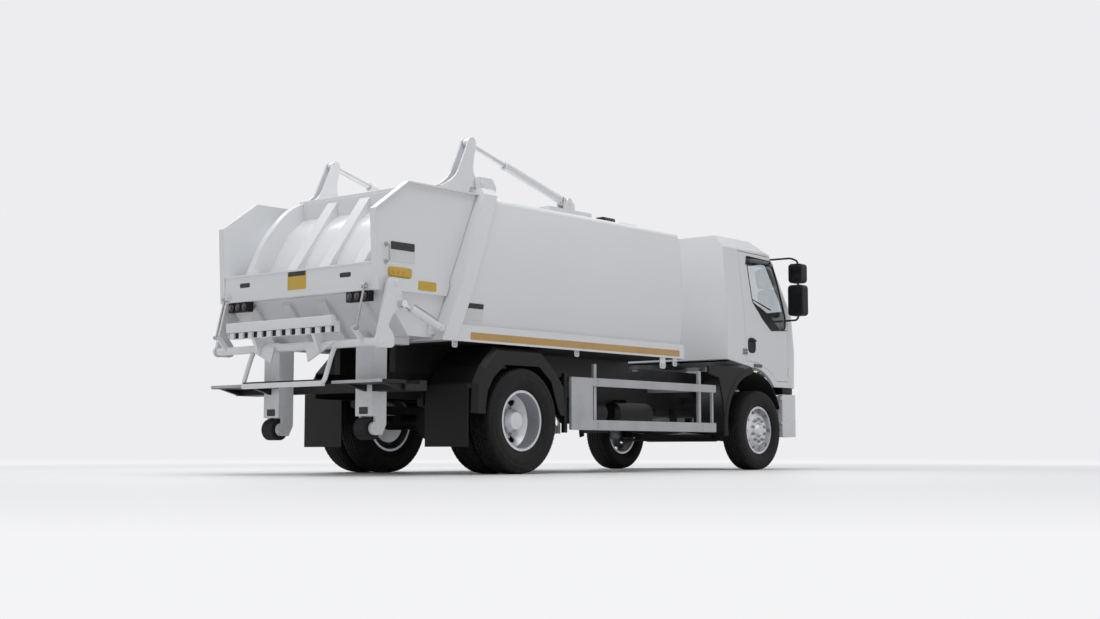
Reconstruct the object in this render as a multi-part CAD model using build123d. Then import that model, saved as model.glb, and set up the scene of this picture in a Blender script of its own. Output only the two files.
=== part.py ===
from build123d import *
import os
from math import atan2, cos, degrees, hypot, radians, sin, sqrt, tan

# Rear-loading refuse truck on two axles.
# Millimetres, x forward, y to the left, z up from the ground.
# Stations along x are measured from the rear axle; WRITE_SHIFT then puts the
# origin midway between the front face and the rearmost edge of the bin lifter.

# Stations and stance
WHEELBASE = 4430
FRONT_OVERHANG = 1250
REAR_OVERHANG = 2113
WRITE_SHIFT = (REAR_OVERHANG - WHEELBASE - FRONT_OVERHANG) / 2
FRONT_AXLE_X = WHEELBASE
NOSE_X = WHEELBASE + FRONT_OVERHANG

# Clearances
FIT = 0.4            # running fit of a pin or shaft in its bore
FACE_GAP = 0.5       # side play between faces that turn on one pin
PANEL_GAP = 6        # shut line round a door, cab or tailgate
SWING_GAP = 8        # room beside a piece that swings

# Wheels
REAR_TYRE_R = 520
FRONT_TYRE_R = 475
TYRE_WIDTH = 280
RIM_WIDTH = 210
REAR_RIM_R = 298     # over the rim flanges
FRONT_RIM_R = 284
RIM_FLANGE = 13
RIM_WALL = 12
RIM_LIP = 10
RIM_TAPER = 2
REAR_RIM_Y = 1180    # outer plane of the outer rim
FRONT_RIM_Y = 1130
TWIN_SPACING = 320
DISC_PLATE = 20
DRUM_R = 205
SPINDLE_R = 50
HUB_CAP_R = 118
HUB_CAP_FACE_R = 85
HUB_CAP_BEVEL = 50
HUB_CAP_INSET = 70   # rear hub cap below the outer plane of the rim
REAR_DISH = 105      # half the depth between the roots of a twin disc
DRUM_INSET = 42
REAR_HUB_REACH = 235
FRONT_CAP = 36
FRONT_CAP_R = 90
FRONT_CAP_FACE_R = 62
FRONT_FLAT_R = 172
FRONT_CONE = 62
FRONT_HUB_R = 100
FRONT_FACE_INSET = 6
REAR_HAND_HOLES = 6
REAR_HAND_HOLE_R = 38
REAR_HAND_CIRCLE = 200
FRONT_HAND_HOLES = 10
FRONT_HAND_HOLE_R = 20
FRONT_HAND_CIRCLE = 222

# Chassis frame
RAIL_Y = 430         # outer face of a frame rail
RAIL_TOP = 980
RAIL_DEPTH = 250
RAIL_FLANGE = 75
RAIL_WEB = 10
RAIL_REAR_X = -1250
RAIL_FRONT_X = WHEELBASE + 830
CROSS_MEMBER_X = (-1150, -600, 700, 1750, 2450)
CROSS_MEMBER_R = 60
SPRING_WIDTH = 80
SPRING_PACK = 90
SPRING_RISE = 70     # bow of a spring from its seat to its ends
SPRING_TIP = 40      # thickness at the ends
HANGER = 45
REAR_SPRING_SPAN = 1400
FRONT_SPRING_SPAN = 1500
AXLE_TUBE_R = 75
DIFF_R = 180
BEAM_DROP = 90
BEAM_HALF = 45
BEAM_WIDTH = 110
BEAM_END_WIDTH = 84
BEAM_FLAT = 490      # half length of the straight middle of the beam
DIFF_LENGTH = 190
DIFF_NOSE_R = 90
DIFF_NOSE = 330      # nose of the axle casing ahead of the axle
KINGPIN_Y = 800
KINGPIN_R = 20
KINGPIN_BOSS_R = 48
BOSS_HEIGHT = 120
YOKE_PLATE = 32
YOKE_WIDTH = 90
KNUCKLE_WIDTH = 140
KNUCKLE_DEPTH = 42
PIN_HEAD = 6         # length of a pin past the last face
STEER_ARM = 230
STEER_ARM_IN = 40
STEER_ARM_PLATE = 16
TRACK_ROD_R = 16
BALL_R = 26
BALL_HALF = 20
ENGINE_BACK = 950    # rear face of the engine behind the front axle
ENGINE_FRONT = 300
ENGINE_HALF = 300
ENGINE_Z = (640, 1180)
SUMP_NOTCH = 120     # half length of the notch over the axle beam
SUMP_TOP = 690
GEARBOX_LENGTH = 520
GEARBOX_HALF = 190
GEARBOX_Z = (620, 960)
MOUNT_Z = (800, 860)
MOUNT_LENGTH = 90
SHAFT_R = 45
SHAFT_FLANGE_R = 80
SHAFT_FLANGE = 30
SHAFT_FRONT_Z = 760

# Refuse body
BODY_FRONT_X = 2750
SKIRT_Y = 1210
SKIRT_BOTTOM = 1250
SKIRT_TOP = 1410
FLOOR_PLATE = 60
BODY_WALL = 30
SIDE_FOOT_Y = 1150
SIDE_BULGE_Y = 1200
SIDE_BULGE_Z = 2120
SIDE_HEAD_Y = 1140
SIDE_HEAD_Z = 2620
ROOF_EDGE_Y = 1060
ROOF_EDGE_Z = 2685
ROOF_CROWN_Z = 2735
SEAM_TOP_X = -545
SEAM_TOP_Z = 2720
SEAM_LEAN = 23       # degrees, foot of the tailgate seam further back
RING_DEPTH = 190
RING_SIDE_Y = 1215
RING_INNER_Y = 1030
RING_TOP_Z = 2765
RING_HEAD = 120
RING_BULGE = 12
RING_LEAN = 40        # the ring's head stands in by this much
RING_CORNER = 70
SUBFRAME_WIDTH = 80

# Tailgate
GATE_Y = 1077        # outer face of a side plate
GATE_PLATE = 40
GATE_TOP_Z = 2700
GATE_TOP_REAR_X = -1513
GATE_SHOULDER_X = -1937
GATE_SHOULDER_Z = 2400
GATE_TAIL_X = -1900
SILL_BOTTOM = 1665
SILL_TOP = 1925
SILL_DEPTH = 90
BELLY_Z = 1275
BELLY_REAR_X = -1480
BELLY_PLATE = 30
HOOD_X = -1050       # axis of the arched hood
HOOD_Z = 1905
HOOD_R = 790
HOOD_PLATE = 40
HOOD_RIB_X = -1000   # axis of the ribs' outer edge, which fades out at the sill
HOOD_RIB_Z = 1960
HOOD_RIB_R = 840
HOOD_RIB_WIDTH = 70
HOOD_LINTEL = 60
HOOD_RIB_Y = (-1002, -345, 345, 1002)
BELLY_RIB_Y = (-750, -250, 250, 750)
BELLY_RIB_WIDTH = 120
BELLY_RIB_DEPTH = 60
LAMP_ROW_Y = 840
SIDE_BEAM_REAR_X = -1760
SIDE_BEAM_Z = (1670, 1790)
SIDE_BEAM_PROUD = 30
GATE_FLANGE = 14         # thickness of the turned-out edge of a side plate
BIN_LUG = 20
BIN_PIN_R = 18
BIN_EYE_R = 34
BIN_EYE_HALF = 26
BIN_FOOT = 20            # start of the barrel's tube past its eye
BIN_TAIL = 30            # rod left in the barrel at full stroke
LAMP_SIZE = (60, 300, 95)
LAMP_LENS_R = 38
LAMP_PITCH = 96
LAMP_PROUD = 8

# Tailgate hinge and lift cylinders, in the plane of a cylinder
LIFT_Y = 970
HINGE = (-445, 2822)
ARM_EYE = (-571, 3213)
CYL_BASE = (940, 2812)
ARM_CHEEK = 20
ARM_SLOT = 76
HINGE_PIN_R = 24
HINGE_EYE_R = 46
ARM_EYE_R = 55
CHEEK_BACK = 560     # rear end of an arm behind the hinge
CHEEK_RISE = 90
CHEEK_TAPER = 260
LIFT_BARREL_R = 48
LIFT_BARREL_WALL = 10
LIFT_BARREL_LENGTH = 1010
LIFT_ROD_R = 26
LIFT_STROKE = 499
LIFT_ROD_TAIL = 100      # rod left in the barrel at full stroke
LIFT_GLAND = 60
BORE_START = 70
BASE_PLATE_LENGTH = 700
BASE_PLATE_SIDE = 15
BASE_LUG = 80        # half length of a lug's foot

# Bin lifter
ARM_Y = 1142         # outer face of a lifter arm
LIFTER_ARM_PLATE = 26
ARM_PIVOT = (-1700, 1734)
FRAME_PIVOT = (-1903, 1194)
ARM_LUG = (-1653, 1546)
BIN_CYL_BASE = (-1172, 1360)
BIN_BARREL_R = 36
BIN_BARREL_LENGTH = 415
BIN_ROD_R = 20
BIN_STROKE = 290
PIVOT_BOSS_R = 52
COMB_HALF = 740
COMB_TOOTH = 38       # overhang of the teeth behind the comb beam
COMB_X = COMB_TOOTH - REAR_OVERHANG
COMB_Z = (1290, 1395)
COMB_DEPTH = 70
TOOTH_HALF = 28
TOOTH_RISE = 40
TOOTH_INSET = 40         # end teeth from the ends of the comb
WEB_Y = 420
WEB_HALF = 20
# plate behind the crossbar that stiffens the comb: y, z
GUSSET = ((220, 1200), (650, 1225), (260, 1045))
GUSSET_X = (-60, -44)    # from the frame's pivot
COMB_TEETH = 9
CROSSBAR_R = 38
REST_HALF = 570
REST_FOOT = (-2040, 835)
REST_HEAD = (-1950, 1090)
REST_BAR_R = 22
REST_BEND = 60
LINK_HEAD = (-1945, 1700)
LINK_FOOT = (-2040, 1320)
LINK_Y = 985
LINK_R = 11
LINK_EYE = 20         # half width of a link's eye
LINK_PIN_R = 10
LINK_PLATE = 22

# Guard posts under the hopper
POST_Y = 650
POST_WIDTH = 220
POST_REAR_X = -1620
POST_DEPTH = 185
POST_CHEEK = 30          # side plates that carry a roller
POST_FOOT_R = 62         # round end of a side plate
POST_CHAMFER = (52, 100)
ROLLER_R = 104
ROLLER_X = -1572
ROLLER_Z = 432
ROLLER_PIN_R = 20
STEP_Z = 860
STEP_PLATE = 30
STEP_REAR_X = -1920
STEP_OUTER_Y = 1200
STEP_STAY = 60           # depth of the bracket under a step
STEP_STAY_WIDTH = 40
UNDERRUN_Z = 820
UNDERRUN_SIZE = 90
UNDERRUN_HALF = 1190

# Cab
CAB_REAR = FRONT_AXLE_X - 560
CAB_WALL = 45
CAB_FLOOR_Z = 1250
CAB_FLOOR_PLATE = 40
CAB_REAR_BOTTOM = 1310
CAB_NOSE_BOTTOM = 1010
CAB_CORNER_R = 250
CAB_FRONT_CROWN = 80
ARCH_Z = 600
ARCH_R = 630
CAB_ROOF_Z = 2660
TILT_PIVOT = (FRONT_AXLE_X + 1135, 985)
TILT_Y = 450
TILT_LUG = 40
TILT_LUG_R = 32
TILT_PIN_R = 16
CAB_REST_Y = (520, 600)
CAB_REST_DROP = 60
CAB_REST_X = 350
DOOR_HINGE_X = FRONT_AXLE_X + 815
DOOR_HINGE_Y = 1062
DOOR_HINGE_Z = (1200, 1780)
DOOR_KNUCKLE_R = 11
DOOR_PIN_R = 5
DOOR_EYE_HALF = 20    # half height of a door's hinge eye
DOOR_LEAF = 18        # thickness of a hinge leaf
MIRROR_Y = 1250
SEAT_REAR_X = -330       # from the front axle
SEAT_Y = 560
# side outlines of a seat's back and head rest from its rear foot: x, z
SEAT_BACK = ((20, 330), (140, 340), (60, 900), (-60, 890))
SEAT_REST = ((-60, 880), (50, 890), (30, 1060), (-60, 1050))
# side outline of the dashboard from the front axle: x, z
DASH_OUTLINE = ((1050, 1650), (930, 1850), (700, 1830), (640, 1700))
DASH_FOOT_X = (760, 1000)
DASH_HALF = 940
STEER_WHEEL = (520, -560, 1830)
STEER_WHEEL_R = 220
STEER_RIM = 30
STEER_LEAN = 35
MIRROR_X = 770           # from the front axle
MIRROR_TOP_Z = 2603
MIRROR_LOW_Z = 1850
MIRROR_BEND = 55
MIRROR_CORNER = 45
# housings of a mirror set: foot, head, half width
MIRROR_HOUSINGS = ((2310, 2550, 95), (1900, 2285, 105))
MIRROR_TUBE_R = 12
# columns: height, front face from the front axle, half width
CAB_SECTIONS = (
    (CAB_NOSE_BOTTOM, 1215, 1065),
    (1450, 1230, 1065),
    (1920, 1175, 1060),
    (2660, 745, 1005),
    (2800, 480, 900),
)
GLASS_INSET = 10
GLASS_PLATE = 10

# Bumper, lamps and mirrors
BUMPER_BOTTOM = 400
BUMPER_TOP = 925
BUMPER_HALF = 1060
BUMPER_DEPTH = 330
BUMPER_WALL = 60
TOW_Z = 575
TOW_PLATE = 30
TOW_HOLE_R = 20
TOW_INSET = 80
TOW_POCKET = 240

# Side fittings
GUARD_Y = 1190
GUARD_REAR_X = 760
GUARD_FRONT_X = 3420
GUARD_RAILS = ((440, 550), (900, 980))
GUARD_THICK = 40
GUARD_POST_X = (1150, 2100, 3050)
GUARD_POST_WIDTH = 60
GUARD_POST_RISE = 70
GUARD_END_PLATE = 250
MUDGUARD_PLATE = 14
MUDGUARD_Y = (590, 1150, 1200)   # inner edge, start of the bevel, face of the lip
MUDGUARD_GROWTH = 1.065          # crown of the hood against the outline of its lip
# corners of a lip from the rear foot over the top to the front foot: x, z
LIP_OUTER = ((-665, 580), (-650, 855), (-560, 1010), (-370, 1190), (270, 1190), (520, 985), (620, 865),
             (645, 580))
LIP_INNER = ((-552, 640), (-525, 795), (-440, 925), (-275, 1055), (240, 1058), (430, 915), (525, 670),
             (580, 580))
MUDGUARD_STAYS = ((-700, -650), (622, 674))
MUDGUARD_STAY_Z = (820, 860)
FRONT_GUARD_R = 640      # inside of the hood behind a steered wheel
FRONT_GUARD_PLATE = 24
FRONT_GUARD_Y = (640, 1090)
FRONT_GUARD_DROP = 60    # its axis under that of the cab's arch
FRONT_FLANGE = 20
FRONT_GUARD_STAY = (-610, -560)
FRONT_STAY_Z = (790, 860)
# outer cheek of a front hood, from the front axle: x, z
FRONT_CHEEK = ((-1010, 1215), (-250, 1220), (-250, 1000), (-545, 420), (-650, 420), (-700, 800), (-790, 1080),
               (-1010, 1120))
FLAP_X = -740
FLAP_Z = (265, 860)
FLAP_PLATE = 12
FLAP_OUTER_Y = 1150
TANK_X = (1250, 2450)
TANK_Y = (500, 1120)
TANK_Z = (420, 900)
TANK_ROUND = 90
TANK_BRACKET = 60
TANK_BRACKET_INSET = 220
AIR_TANK_R = 125
AIR_TANK_Z = 640
AIR_TANK_LENGTH = 700
AIR_TANK_X = (1300, 2150)
AIR_TANK_GAP = 60    # room between a vessel and the rail
AIR_TANK_END = 45
STRAP = 80


def block(x0, x1, y0, y1, z0, z1):
    return Pos((x0 + x1) / 2, (y0 + y1) / 2, (z0 + z1) / 2) * Box(x1 - x0, y1 - y0, z1 - z0)


def rod_x(y, z, r, x0, x1):
    return Pos((x0 + x1) / 2, y, z) * Rot(0, 90, 0) * Cylinder(r, x1 - x0)


def rod_y(x, z, r, y0, y1):
    return Pos(x, (y0 + y1) / 2, z) * Rot(90, 0, 0) * Cylinder(r, y1 - y0)


def rod_z(x, y, r, z0, z1):
    return Pos(x, y, (z0 + z1) / 2) * Cylinder(r, z1 - z0)


def slab_xz(points, y0, y1):
    outline = Polyline(*[(x, y0, z) for x, z in points], close=True)
    return extrude(make_face(outline), amount=y1 - y0, dir=(0, 1, 0))


def slab_yz(points, x0, x1):
    outline = Polyline(*[(x0, y, z) for y, z in points], close=True)
    return extrude(make_face(outline), amount=x1 - x0, dir=(1, 0, 0))


def strut(start, end, r, y):
    length = hypot(end[0] - start[0], end[1] - start[1])
    lean = degrees(atan2(end[0] - start[0], end[1] - start[1]))
    middle = Pos((start[0] + end[0]) / 2, y, (start[1] + end[1]) / 2)
    return middle * Rot(0, lean, 0) * Cylinder(r, length)


def along(start, end, distance):
    length = hypot(end[0] - start[0], end[1] - start[1])
    share = distance / length
    return (start[0] + (end[0] - start[0]) * share, start[1] + (end[1] - start[1]) * share)


def other_side(shape):
    return mirror(shape, about=Plane.XZ)


def pair(shape):
    return [shape, other_side(shape)]


def spun(points):
    outline = Polyline(*[(r, y, 0) for r, y in points], close=True)
    return revolve(make_face(outline), axis=Axis.Y)


def emit(node, *shapes):
    solids = [solid for shape in shapes for solid in shape.solids()]
    whole = solids[0] if len(solids) == 1 else Compound(solids)
    export_step(Pos(WRITE_SHIFT, 0, 0) * whole, f"parts/{node}.step")


# Wheels


def tyre(radius, rim_r, middle):
    # half section from the bead out to the middle of the tread: radius, distance from the middle
    bead = rim_r - RIM_FLANGE + FIT
    half = TYRE_WIDTH / 2
    seat = RIM_WIDTH / 2 - RIM_LIP - RIM_TAPER - FIT
    section = [
        (bead, seat), (rim_r + FIT, seat), (rim_r + 16, 0.44 * TYRE_WIDTH), ((radius + bead) / 2, half),
        (radius - 55, 0.49 * TYRE_WIDTH), (radius - 14, 0.43 * TYRE_WIDTH), (radius, 0.36 * TYRE_WIDTH),
    ]
    outer = [(r, middle + y) for r, y in section]
    inner = [(r, middle - y) for r, y in reversed(section)]
    return spun(outer + inner)


def rim_barrel(rim_r, outer_y):
    seat = rim_r - RIM_FLANGE
    inner_y = outer_y - RIM_WIDTH
    shoulder = RIM_LIP + RIM_TAPER
    return spun([
        (rim_r, outer_y), (rim_r, outer_y - RIM_LIP), (seat, outer_y - shoulder), (seat, inner_y + shoulder),
        (rim_r, inner_y + RIM_LIP), (rim_r, inner_y), (seat - RIM_WALL, inner_y), (seat - RIM_WALL, outer_y),
    ])


def hole_ring(count, circle, r, y0, y1):
    return [Rot(0, 360 * i / count, 0) * rod_y(circle, 0, r, y0, y1) for i in range(count)]


REAR_TYRE_Y = REAR_RIM_Y - RIM_WIDTH / 2
TWIN_MIDDLE_Y = REAR_TYRE_Y - TWIN_SPACING / 2
REAR_HUB_IN = TWIN_MIDDLE_Y - REAR_HUB_REACH
REAR_CAP_Y = REAR_RIM_Y - HUB_CAP_INSET
FRONT_TYRE_Y = FRONT_RIM_Y - RIM_WIDTH / 2
FRONT_HUB_IN = KINGPIN_Y + KINGPIN_BOSS_R + KNUCKLE_DEPTH
SPINDLE_TIP = 150    # reach of a spindle into its hub


def rear_rim():
    seat = REAR_RIM_R - RIM_FLANGE - RIM_WALL + RIM_TAPER
    middle = TWIN_MIDDLE_Y
    face = middle + DISC_PLATE
    disc = spun([
        (0, REAR_CAP_Y), (HUB_CAP_FACE_R, REAR_CAP_Y), (HUB_CAP_R, REAR_CAP_Y - HUB_CAP_BEVEL),
        (HUB_CAP_R, face), (REAR_HAND_CIRCLE, face),
        (seat, middle + REAR_DISH), (seat, middle + REAR_DISH - DISC_PLATE), (REAR_HAND_CIRCLE, middle),
        (seat, middle - REAR_DISH + DISC_PLATE), (seat, middle - REAR_DISH),
        (DRUM_R, middle - DRUM_INSET), (DRUM_R, REAR_HUB_IN), (0, REAR_HUB_IN),
    ])
    wheel = disc + rim_barrel(REAR_RIM_R, REAR_RIM_Y) + rim_barrel(REAR_RIM_R, REAR_RIM_Y - TWIN_SPACING)
    for hole in hole_ring(REAR_HAND_HOLES, REAR_HAND_CIRCLE, REAR_HAND_HOLE_R, middle, REAR_RIM_Y):
        wheel -= hole
    return wheel - rod_y(0, 0, SPINDLE_R + FIT, REAR_HUB_IN - 1, REAR_HUB_IN + SPINDLE_TIP + FACE_GAP)


def front_rim():
    seat = FRONT_RIM_R - RIM_FLANGE - RIM_WALL + RIM_TAPER
    face = FRONT_RIM_Y - FRONT_FACE_INSET
    cone = face - FRONT_CONE
    disc = spun([
        (0, face + FRONT_CAP), (FRONT_CAP_FACE_R, face + FRONT_CAP), (FRONT_CAP_R, face),
        (FRONT_FLAT_R, face),
        (seat, cone), (seat, cone - DISC_PLATE), (FRONT_FLAT_R, face - DISC_PLATE),
        (FRONT_HUB_R, face - DISC_PLATE), (FRONT_HUB_R, FRONT_HUB_IN), (0, FRONT_HUB_IN),
    ])
    wheel = disc + rim_barrel(FRONT_RIM_R, FRONT_RIM_Y)
    inner = cone - DISC_PLATE
    for hole in hole_ring(FRONT_HAND_HOLES, FRONT_HAND_CIRCLE, FRONT_HAND_HOLE_R, inner, FRONT_RIM_Y):
        wheel -= hole
    return wheel - rod_y(0, 0, SPINDLE_R + FIT, FRONT_HUB_IN - 1, FRONT_HUB_IN + SPINDLE_TIP + FACE_GAP)


# Chassis


def channel(x0, x1):
    low = RAIL_TOP - RAIL_DEPTH
    inner = RAIL_Y - RAIL_FLANGE
    web = RAIL_Y - RAIL_WEB
    return slab_yz([
        (RAIL_Y, low), (RAIL_Y, RAIL_TOP), (inner, RAIL_TOP), (inner, RAIL_TOP - RAIL_WEB),
        (web, RAIL_TOP - RAIL_WEB), (web, low + RAIL_WEB), (inner, low + RAIL_WEB), (inner, low),
    ], x0, x1)


def chassis_frame():
    frame = channel(RAIL_REAR_X, RAIL_FRONT_X) + other_side(channel(RAIL_REAR_X, RAIL_FRONT_X))
    web = RAIL_Y - RAIL_WEB
    middle = RAIL_TOP - RAIL_DEPTH / 2
    for x in CROSS_MEMBER_X:
        frame += rod_y(x, middle, CROSS_MEMBER_R, -web, web)
    frame += block(RAIL_FRONT_X - 70, RAIL_FRONT_X, -web, web, RAIL_TOP - RAIL_DEPTH, RAIL_TOP)
    for bracket in (tilt_bracket(), cab_rest()):
        frame += bracket + other_side(bracket)
    return frame


def tilt_bracket():
    # arm and pin that the cab tips forward on
    y1 = TILT_Y - TILT_LUG / 2 - FACE_GAP
    y0 = RAIL_Y - RAIL_FLANGE
    x, z = TILT_PIVOT
    arm = slab_xz([(RAIL_FRONT_X - 80, RAIL_TOP - RAIL_DEPTH + 4), (RAIL_FRONT_X - 80, RAIL_TOP - 20),
                   (x, z + 22), (x + 22, z), (x, z - 30)], y0, y1)
    return arm + rod_y(x, z, TILT_PIN_R, y1 - 1, TILT_Y + TILT_LUG / 2 + 6)


def cab_rest():
    # pedestal under the floor beams at the back of the cab
    x0 = CAB_REAR + CAB_REST_X
    return block(x0, x0 + 90, RAIL_Y - RAIL_WEB / 2, CAB_REST_Y[1], RAIL_TOP - 120,
                 CAB_FLOOR_Z - CAB_REST_DROP - FACE_GAP)


def leaf_spring(axle_x, seat_z, span, y, hanger_z):
    # a bow of even thickness between two hangers that reach up to the rail
    half = span / 2
    y0 = y - SPRING_WIDTH / 2
    end_z = seat_z + SPRING_RISE
    lower = ThreePointArc((axle_x - half, y0, end_z), (axle_x, y0, seat_z), (axle_x + half, y0, end_z))
    upper = ThreePointArc(
        (axle_x + half, y0, end_z + SPRING_TIP),
        (axle_x, y0, seat_z + SPRING_PACK),
        (axle_x - half, y0, end_z + SPRING_TIP),
    )
    ends = [Line(lower @ 1, upper @ 0), Line(upper @ 1, lower @ 0)]
    spring = extrude(make_face([lower, ends[0], upper, ends[1]]), amount=SPRING_WIDTH, dir=(0, 1, 0))
    for x0 in (axle_x - half, axle_x + half - HANGER):
        spring += block(x0, x0 + HANGER, y0, y0 + SPRING_WIDTH, end_z + SPRING_TIP / 8, hanger_z)
    return spring


FRONT_SEAT_Z = FRONT_TYRE_R - BEAM_DROP + BEAM_HALF
REAR_SEAT_Z = REAR_TYRE_R + AXLE_TUBE_R
REAR_SPRING_Y = RAIL_Y + SPRING_WIDTH / 2
FRONT_SPRING_Y = RAIL_Y - SPRING_WIDTH / 2


def leaf_springs():
    rail_low = RAIL_TOP - RAIL_DEPTH
    rear = leaf_spring(0, REAR_SEAT_Z, REAR_SPRING_SPAN, REAR_SPRING_Y, RAIL_TOP - RAIL_DEPTH / 2)
    front = leaf_spring(FRONT_AXLE_X, FRONT_SEAT_Z, FRONT_SPRING_SPAN, FRONT_SPRING_Y, rail_low)
    return pair(rear) + pair(front)


def rear_axle():
    tip = REAR_HUB_IN - FACE_GAP
    housing = rod_y(0, REAR_TYRE_R, AXLE_TUBE_R, -tip, tip)
    housing += rod_x(0, REAR_TYRE_R, DIFF_R, -DIFF_LENGTH / 2, DIFF_LENGTH / 2)
    housing += rod_x(0, REAR_TYRE_R, DIFF_NOSE_R, 0, DIFF_NOSE)
    half = SPRING_WIDTH / 2
    for y in (REAR_SPRING_Y, -REAR_SPRING_Y):
        housing += block(-SPRING_WIDTH, SPRING_WIDTH, y - half, y + half, REAR_TYRE_R, REAR_SEAT_Z)
    reach = REAR_HUB_IN + SPINDLE_TIP
    return housing + rod_y(0, REAR_TYRE_R, SPINDLE_R, -reach, reach)


def front_axle():
    # a forged beam with a dropped middle and a kingpin boss at each end
    x = FRONT_AXLE_X
    beam_z = FRONT_TYRE_R - BEAM_DROP
    half = BEAM_WIDTH / 2
    beam = block(x - half, x + half, -BEAM_FLAT, BEAM_FLAT, beam_z - BEAM_HALF, beam_z + BEAM_HALF)
    neck = 0.9 * BEAM_HALF
    rise = slab_yz([
        (BEAM_FLAT - 1, beam_z - BEAM_HALF), (BEAM_FLAT - 1, beam_z + BEAM_HALF),
        (KINGPIN_Y, FRONT_TYRE_R + neck), (KINGPIN_Y, FRONT_TYRE_R - neck),
    ], x - BEAM_END_WIDTH / 2, x + BEAM_END_WIDTH / 2)
    boss_half = BOSS_HEIGHT / 2
    boss = rod_z(x, KINGPIN_Y, KINGPIN_BOSS_R, FRONT_TYRE_R - boss_half, FRONT_TYRE_R + boss_half)
    bore = rod_z(x, KINGPIN_Y, KINGPIN_R + FIT, 0, 2 * FRONT_TYRE_R)
    end = rise + boss - bore
    return beam + end + other_side(end)


STEER_ARM_TIP = (FRONT_AXLE_X - STEER_ARM, KINGPIN_Y - STEER_ARM_IN)
ARM_LOW_Z = FRONT_TYRE_R - BOSS_HEIGHT / 2 - FACE_GAP - YOKE_PLATE


def knuckle():
    x = FRONT_AXLE_X
    z_low = FRONT_TYRE_R - BOSS_HEIGHT / 2 - FACE_GAP
    z_high = FRONT_TYRE_R + BOSS_HEIGHT / 2 + FACE_GAP
    back = KINGPIN_Y + KINGPIN_BOSS_R + SWING_GAP
    face = FRONT_HUB_IN - FACE_GAP
    half = KNUCKLE_WIDTH / 2
    body = block(x - half, x + half, back, face, z_low - YOKE_PLATE, z_high + YOKE_PLATE)
    for z0, z1 in ((z_low - YOKE_PLATE, z_low), (z_high, z_high + YOKE_PLATE)):
        body += rod_z(x, KINGPIN_Y, KINGPIN_BOSS_R, z0, z1)
        body += block(x - YOKE_WIDTH / 2, x + YOKE_WIDTH / 2, KINGPIN_Y, back + 1, z0, z1)
    body += rod_z(x, KINGPIN_Y, KINGPIN_R, z_low - YOKE_PLATE - PIN_HEAD, z_high + YOKE_PLATE + PIN_HEAD)
    body += rod_y(x, FRONT_TYRE_R, SPINDLE_R, back, FRONT_HUB_IN + SPINDLE_TIP)
    tip_x, tip_y = STEER_ARM_TIP
    arm = Polyline(
        (x, KINGPIN_Y - STEER_ARM_IN, ARM_LOW_Z), (x, KINGPIN_Y + STEER_ARM_IN, ARM_LOW_Z),
        (tip_x, tip_y + BALL_R, ARM_LOW_Z), (tip_x, tip_y - BALL_R, ARM_LOW_Z), close=True,
    )
    lever = extrude(make_face(arm), amount=STEER_ARM_PLATE, dir=(0, 0, 1))
    return body + lever + rod_z(tip_x, tip_y, BALL_R, ARM_LOW_Z, ARM_LOW_Z + STEER_ARM_PLATE)


def track_rod():
    tip_x, tip_y = STEER_ARM_TIP
    z = ARM_LOW_Z - FACE_GAP - BALL_HALF
    rod = rod_y(tip_x, z, TRACK_ROD_R, -tip_y, tip_y)
    for y in (-tip_y, tip_y):
        rod += rod_z(tip_x, y, BALL_R, z - BALL_HALF, z + BALL_HALF)
    return rod


def engine_block():
    # engine and gearbox as one plain mass on two cross mounts
    x0 = FRONT_AXLE_X - ENGINE_BACK
    web = RAIL_Y - RAIL_WEB
    engine = block(x0, FRONT_AXLE_X + ENGINE_FRONT, -ENGINE_HALF, ENGINE_HALF, *ENGINE_Z)
    engine -= block(FRONT_AXLE_X - SUMP_NOTCH, FRONT_AXLE_X + SUMP_NOTCH, -ENGINE_HALF, ENGINE_HALF,
                    0, SUMP_TOP)
    for x in (x0 + MOUNT_LENGTH, FRONT_AXLE_X + ENGINE_FRONT - 1.5 * MOUNT_LENGTH):
        engine += block(x, x + MOUNT_LENGTH, -web, web, *MOUNT_Z)
    return engine + block(x0 - GEARBOX_LENGTH, x0, -GEARBOX_HALF, GEARBOX_HALF, *GEARBOX_Z)


def drive_shaft():
    start = (DIFF_NOSE, REAR_TYRE_R)
    end = (FRONT_AXLE_X - ENGINE_BACK - GEARBOX_LENGTH, SHAFT_FRONT_Z)
    shaft = strut(start, end, SHAFT_R, 0)
    shaft += strut(start, along(start, end, SHAFT_FLANGE), SHAFT_FLANGE_R, 0)
    shaft += strut(along(end, start, SHAFT_FLANGE), end, SHAFT_FLANGE_R, 0)
    reach = 2 * SHAFT_FLANGE_R
    return shaft & block(start[0], end[0], -reach, reach, 0, RAIL_TOP)


def fuel_tank():
    tank = block(*TANK_X, *TANK_Y, *TANK_Z)
    tank = fillet(tank.edges().filter_by(Axis.X), TANK_ROUND)
    low = RAIL_TOP - RAIL_DEPTH
    for x in (TANK_X[0] + TANK_BRACKET_INSET, TANK_X[1] - TANK_BRACKET_INSET - TANK_BRACKET):
        tank += block(x, x + TANK_BRACKET, RAIL_Y, TANK_Y[0] + TANK_BRACKET / 2, low, low + 2 * TANK_BRACKET)
    return tank


def air_tanks():
    y = -(RAIL_Y + AIR_TANK_GAP + AIR_TANK_R)
    vessels = []
    for x0 in AIR_TANK_X:
        vessel = rod_x(y, AIR_TANK_Z, AIR_TANK_R, x0, x0 + AIR_TANK_LENGTH)
        vessel = chamfer(vessel.edges().filter_by(GeomType.CIRCLE), AIR_TANK_END)
        strap_x = x0 + (AIR_TANK_LENGTH - STRAP) / 2
        vessel += block(strap_x, strap_x + STRAP, y, -RAIL_Y, AIR_TANK_Z + STRAP, AIR_TANK_Z + 2 * STRAP)
        vessels.append(vessel)
    return vessels


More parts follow.
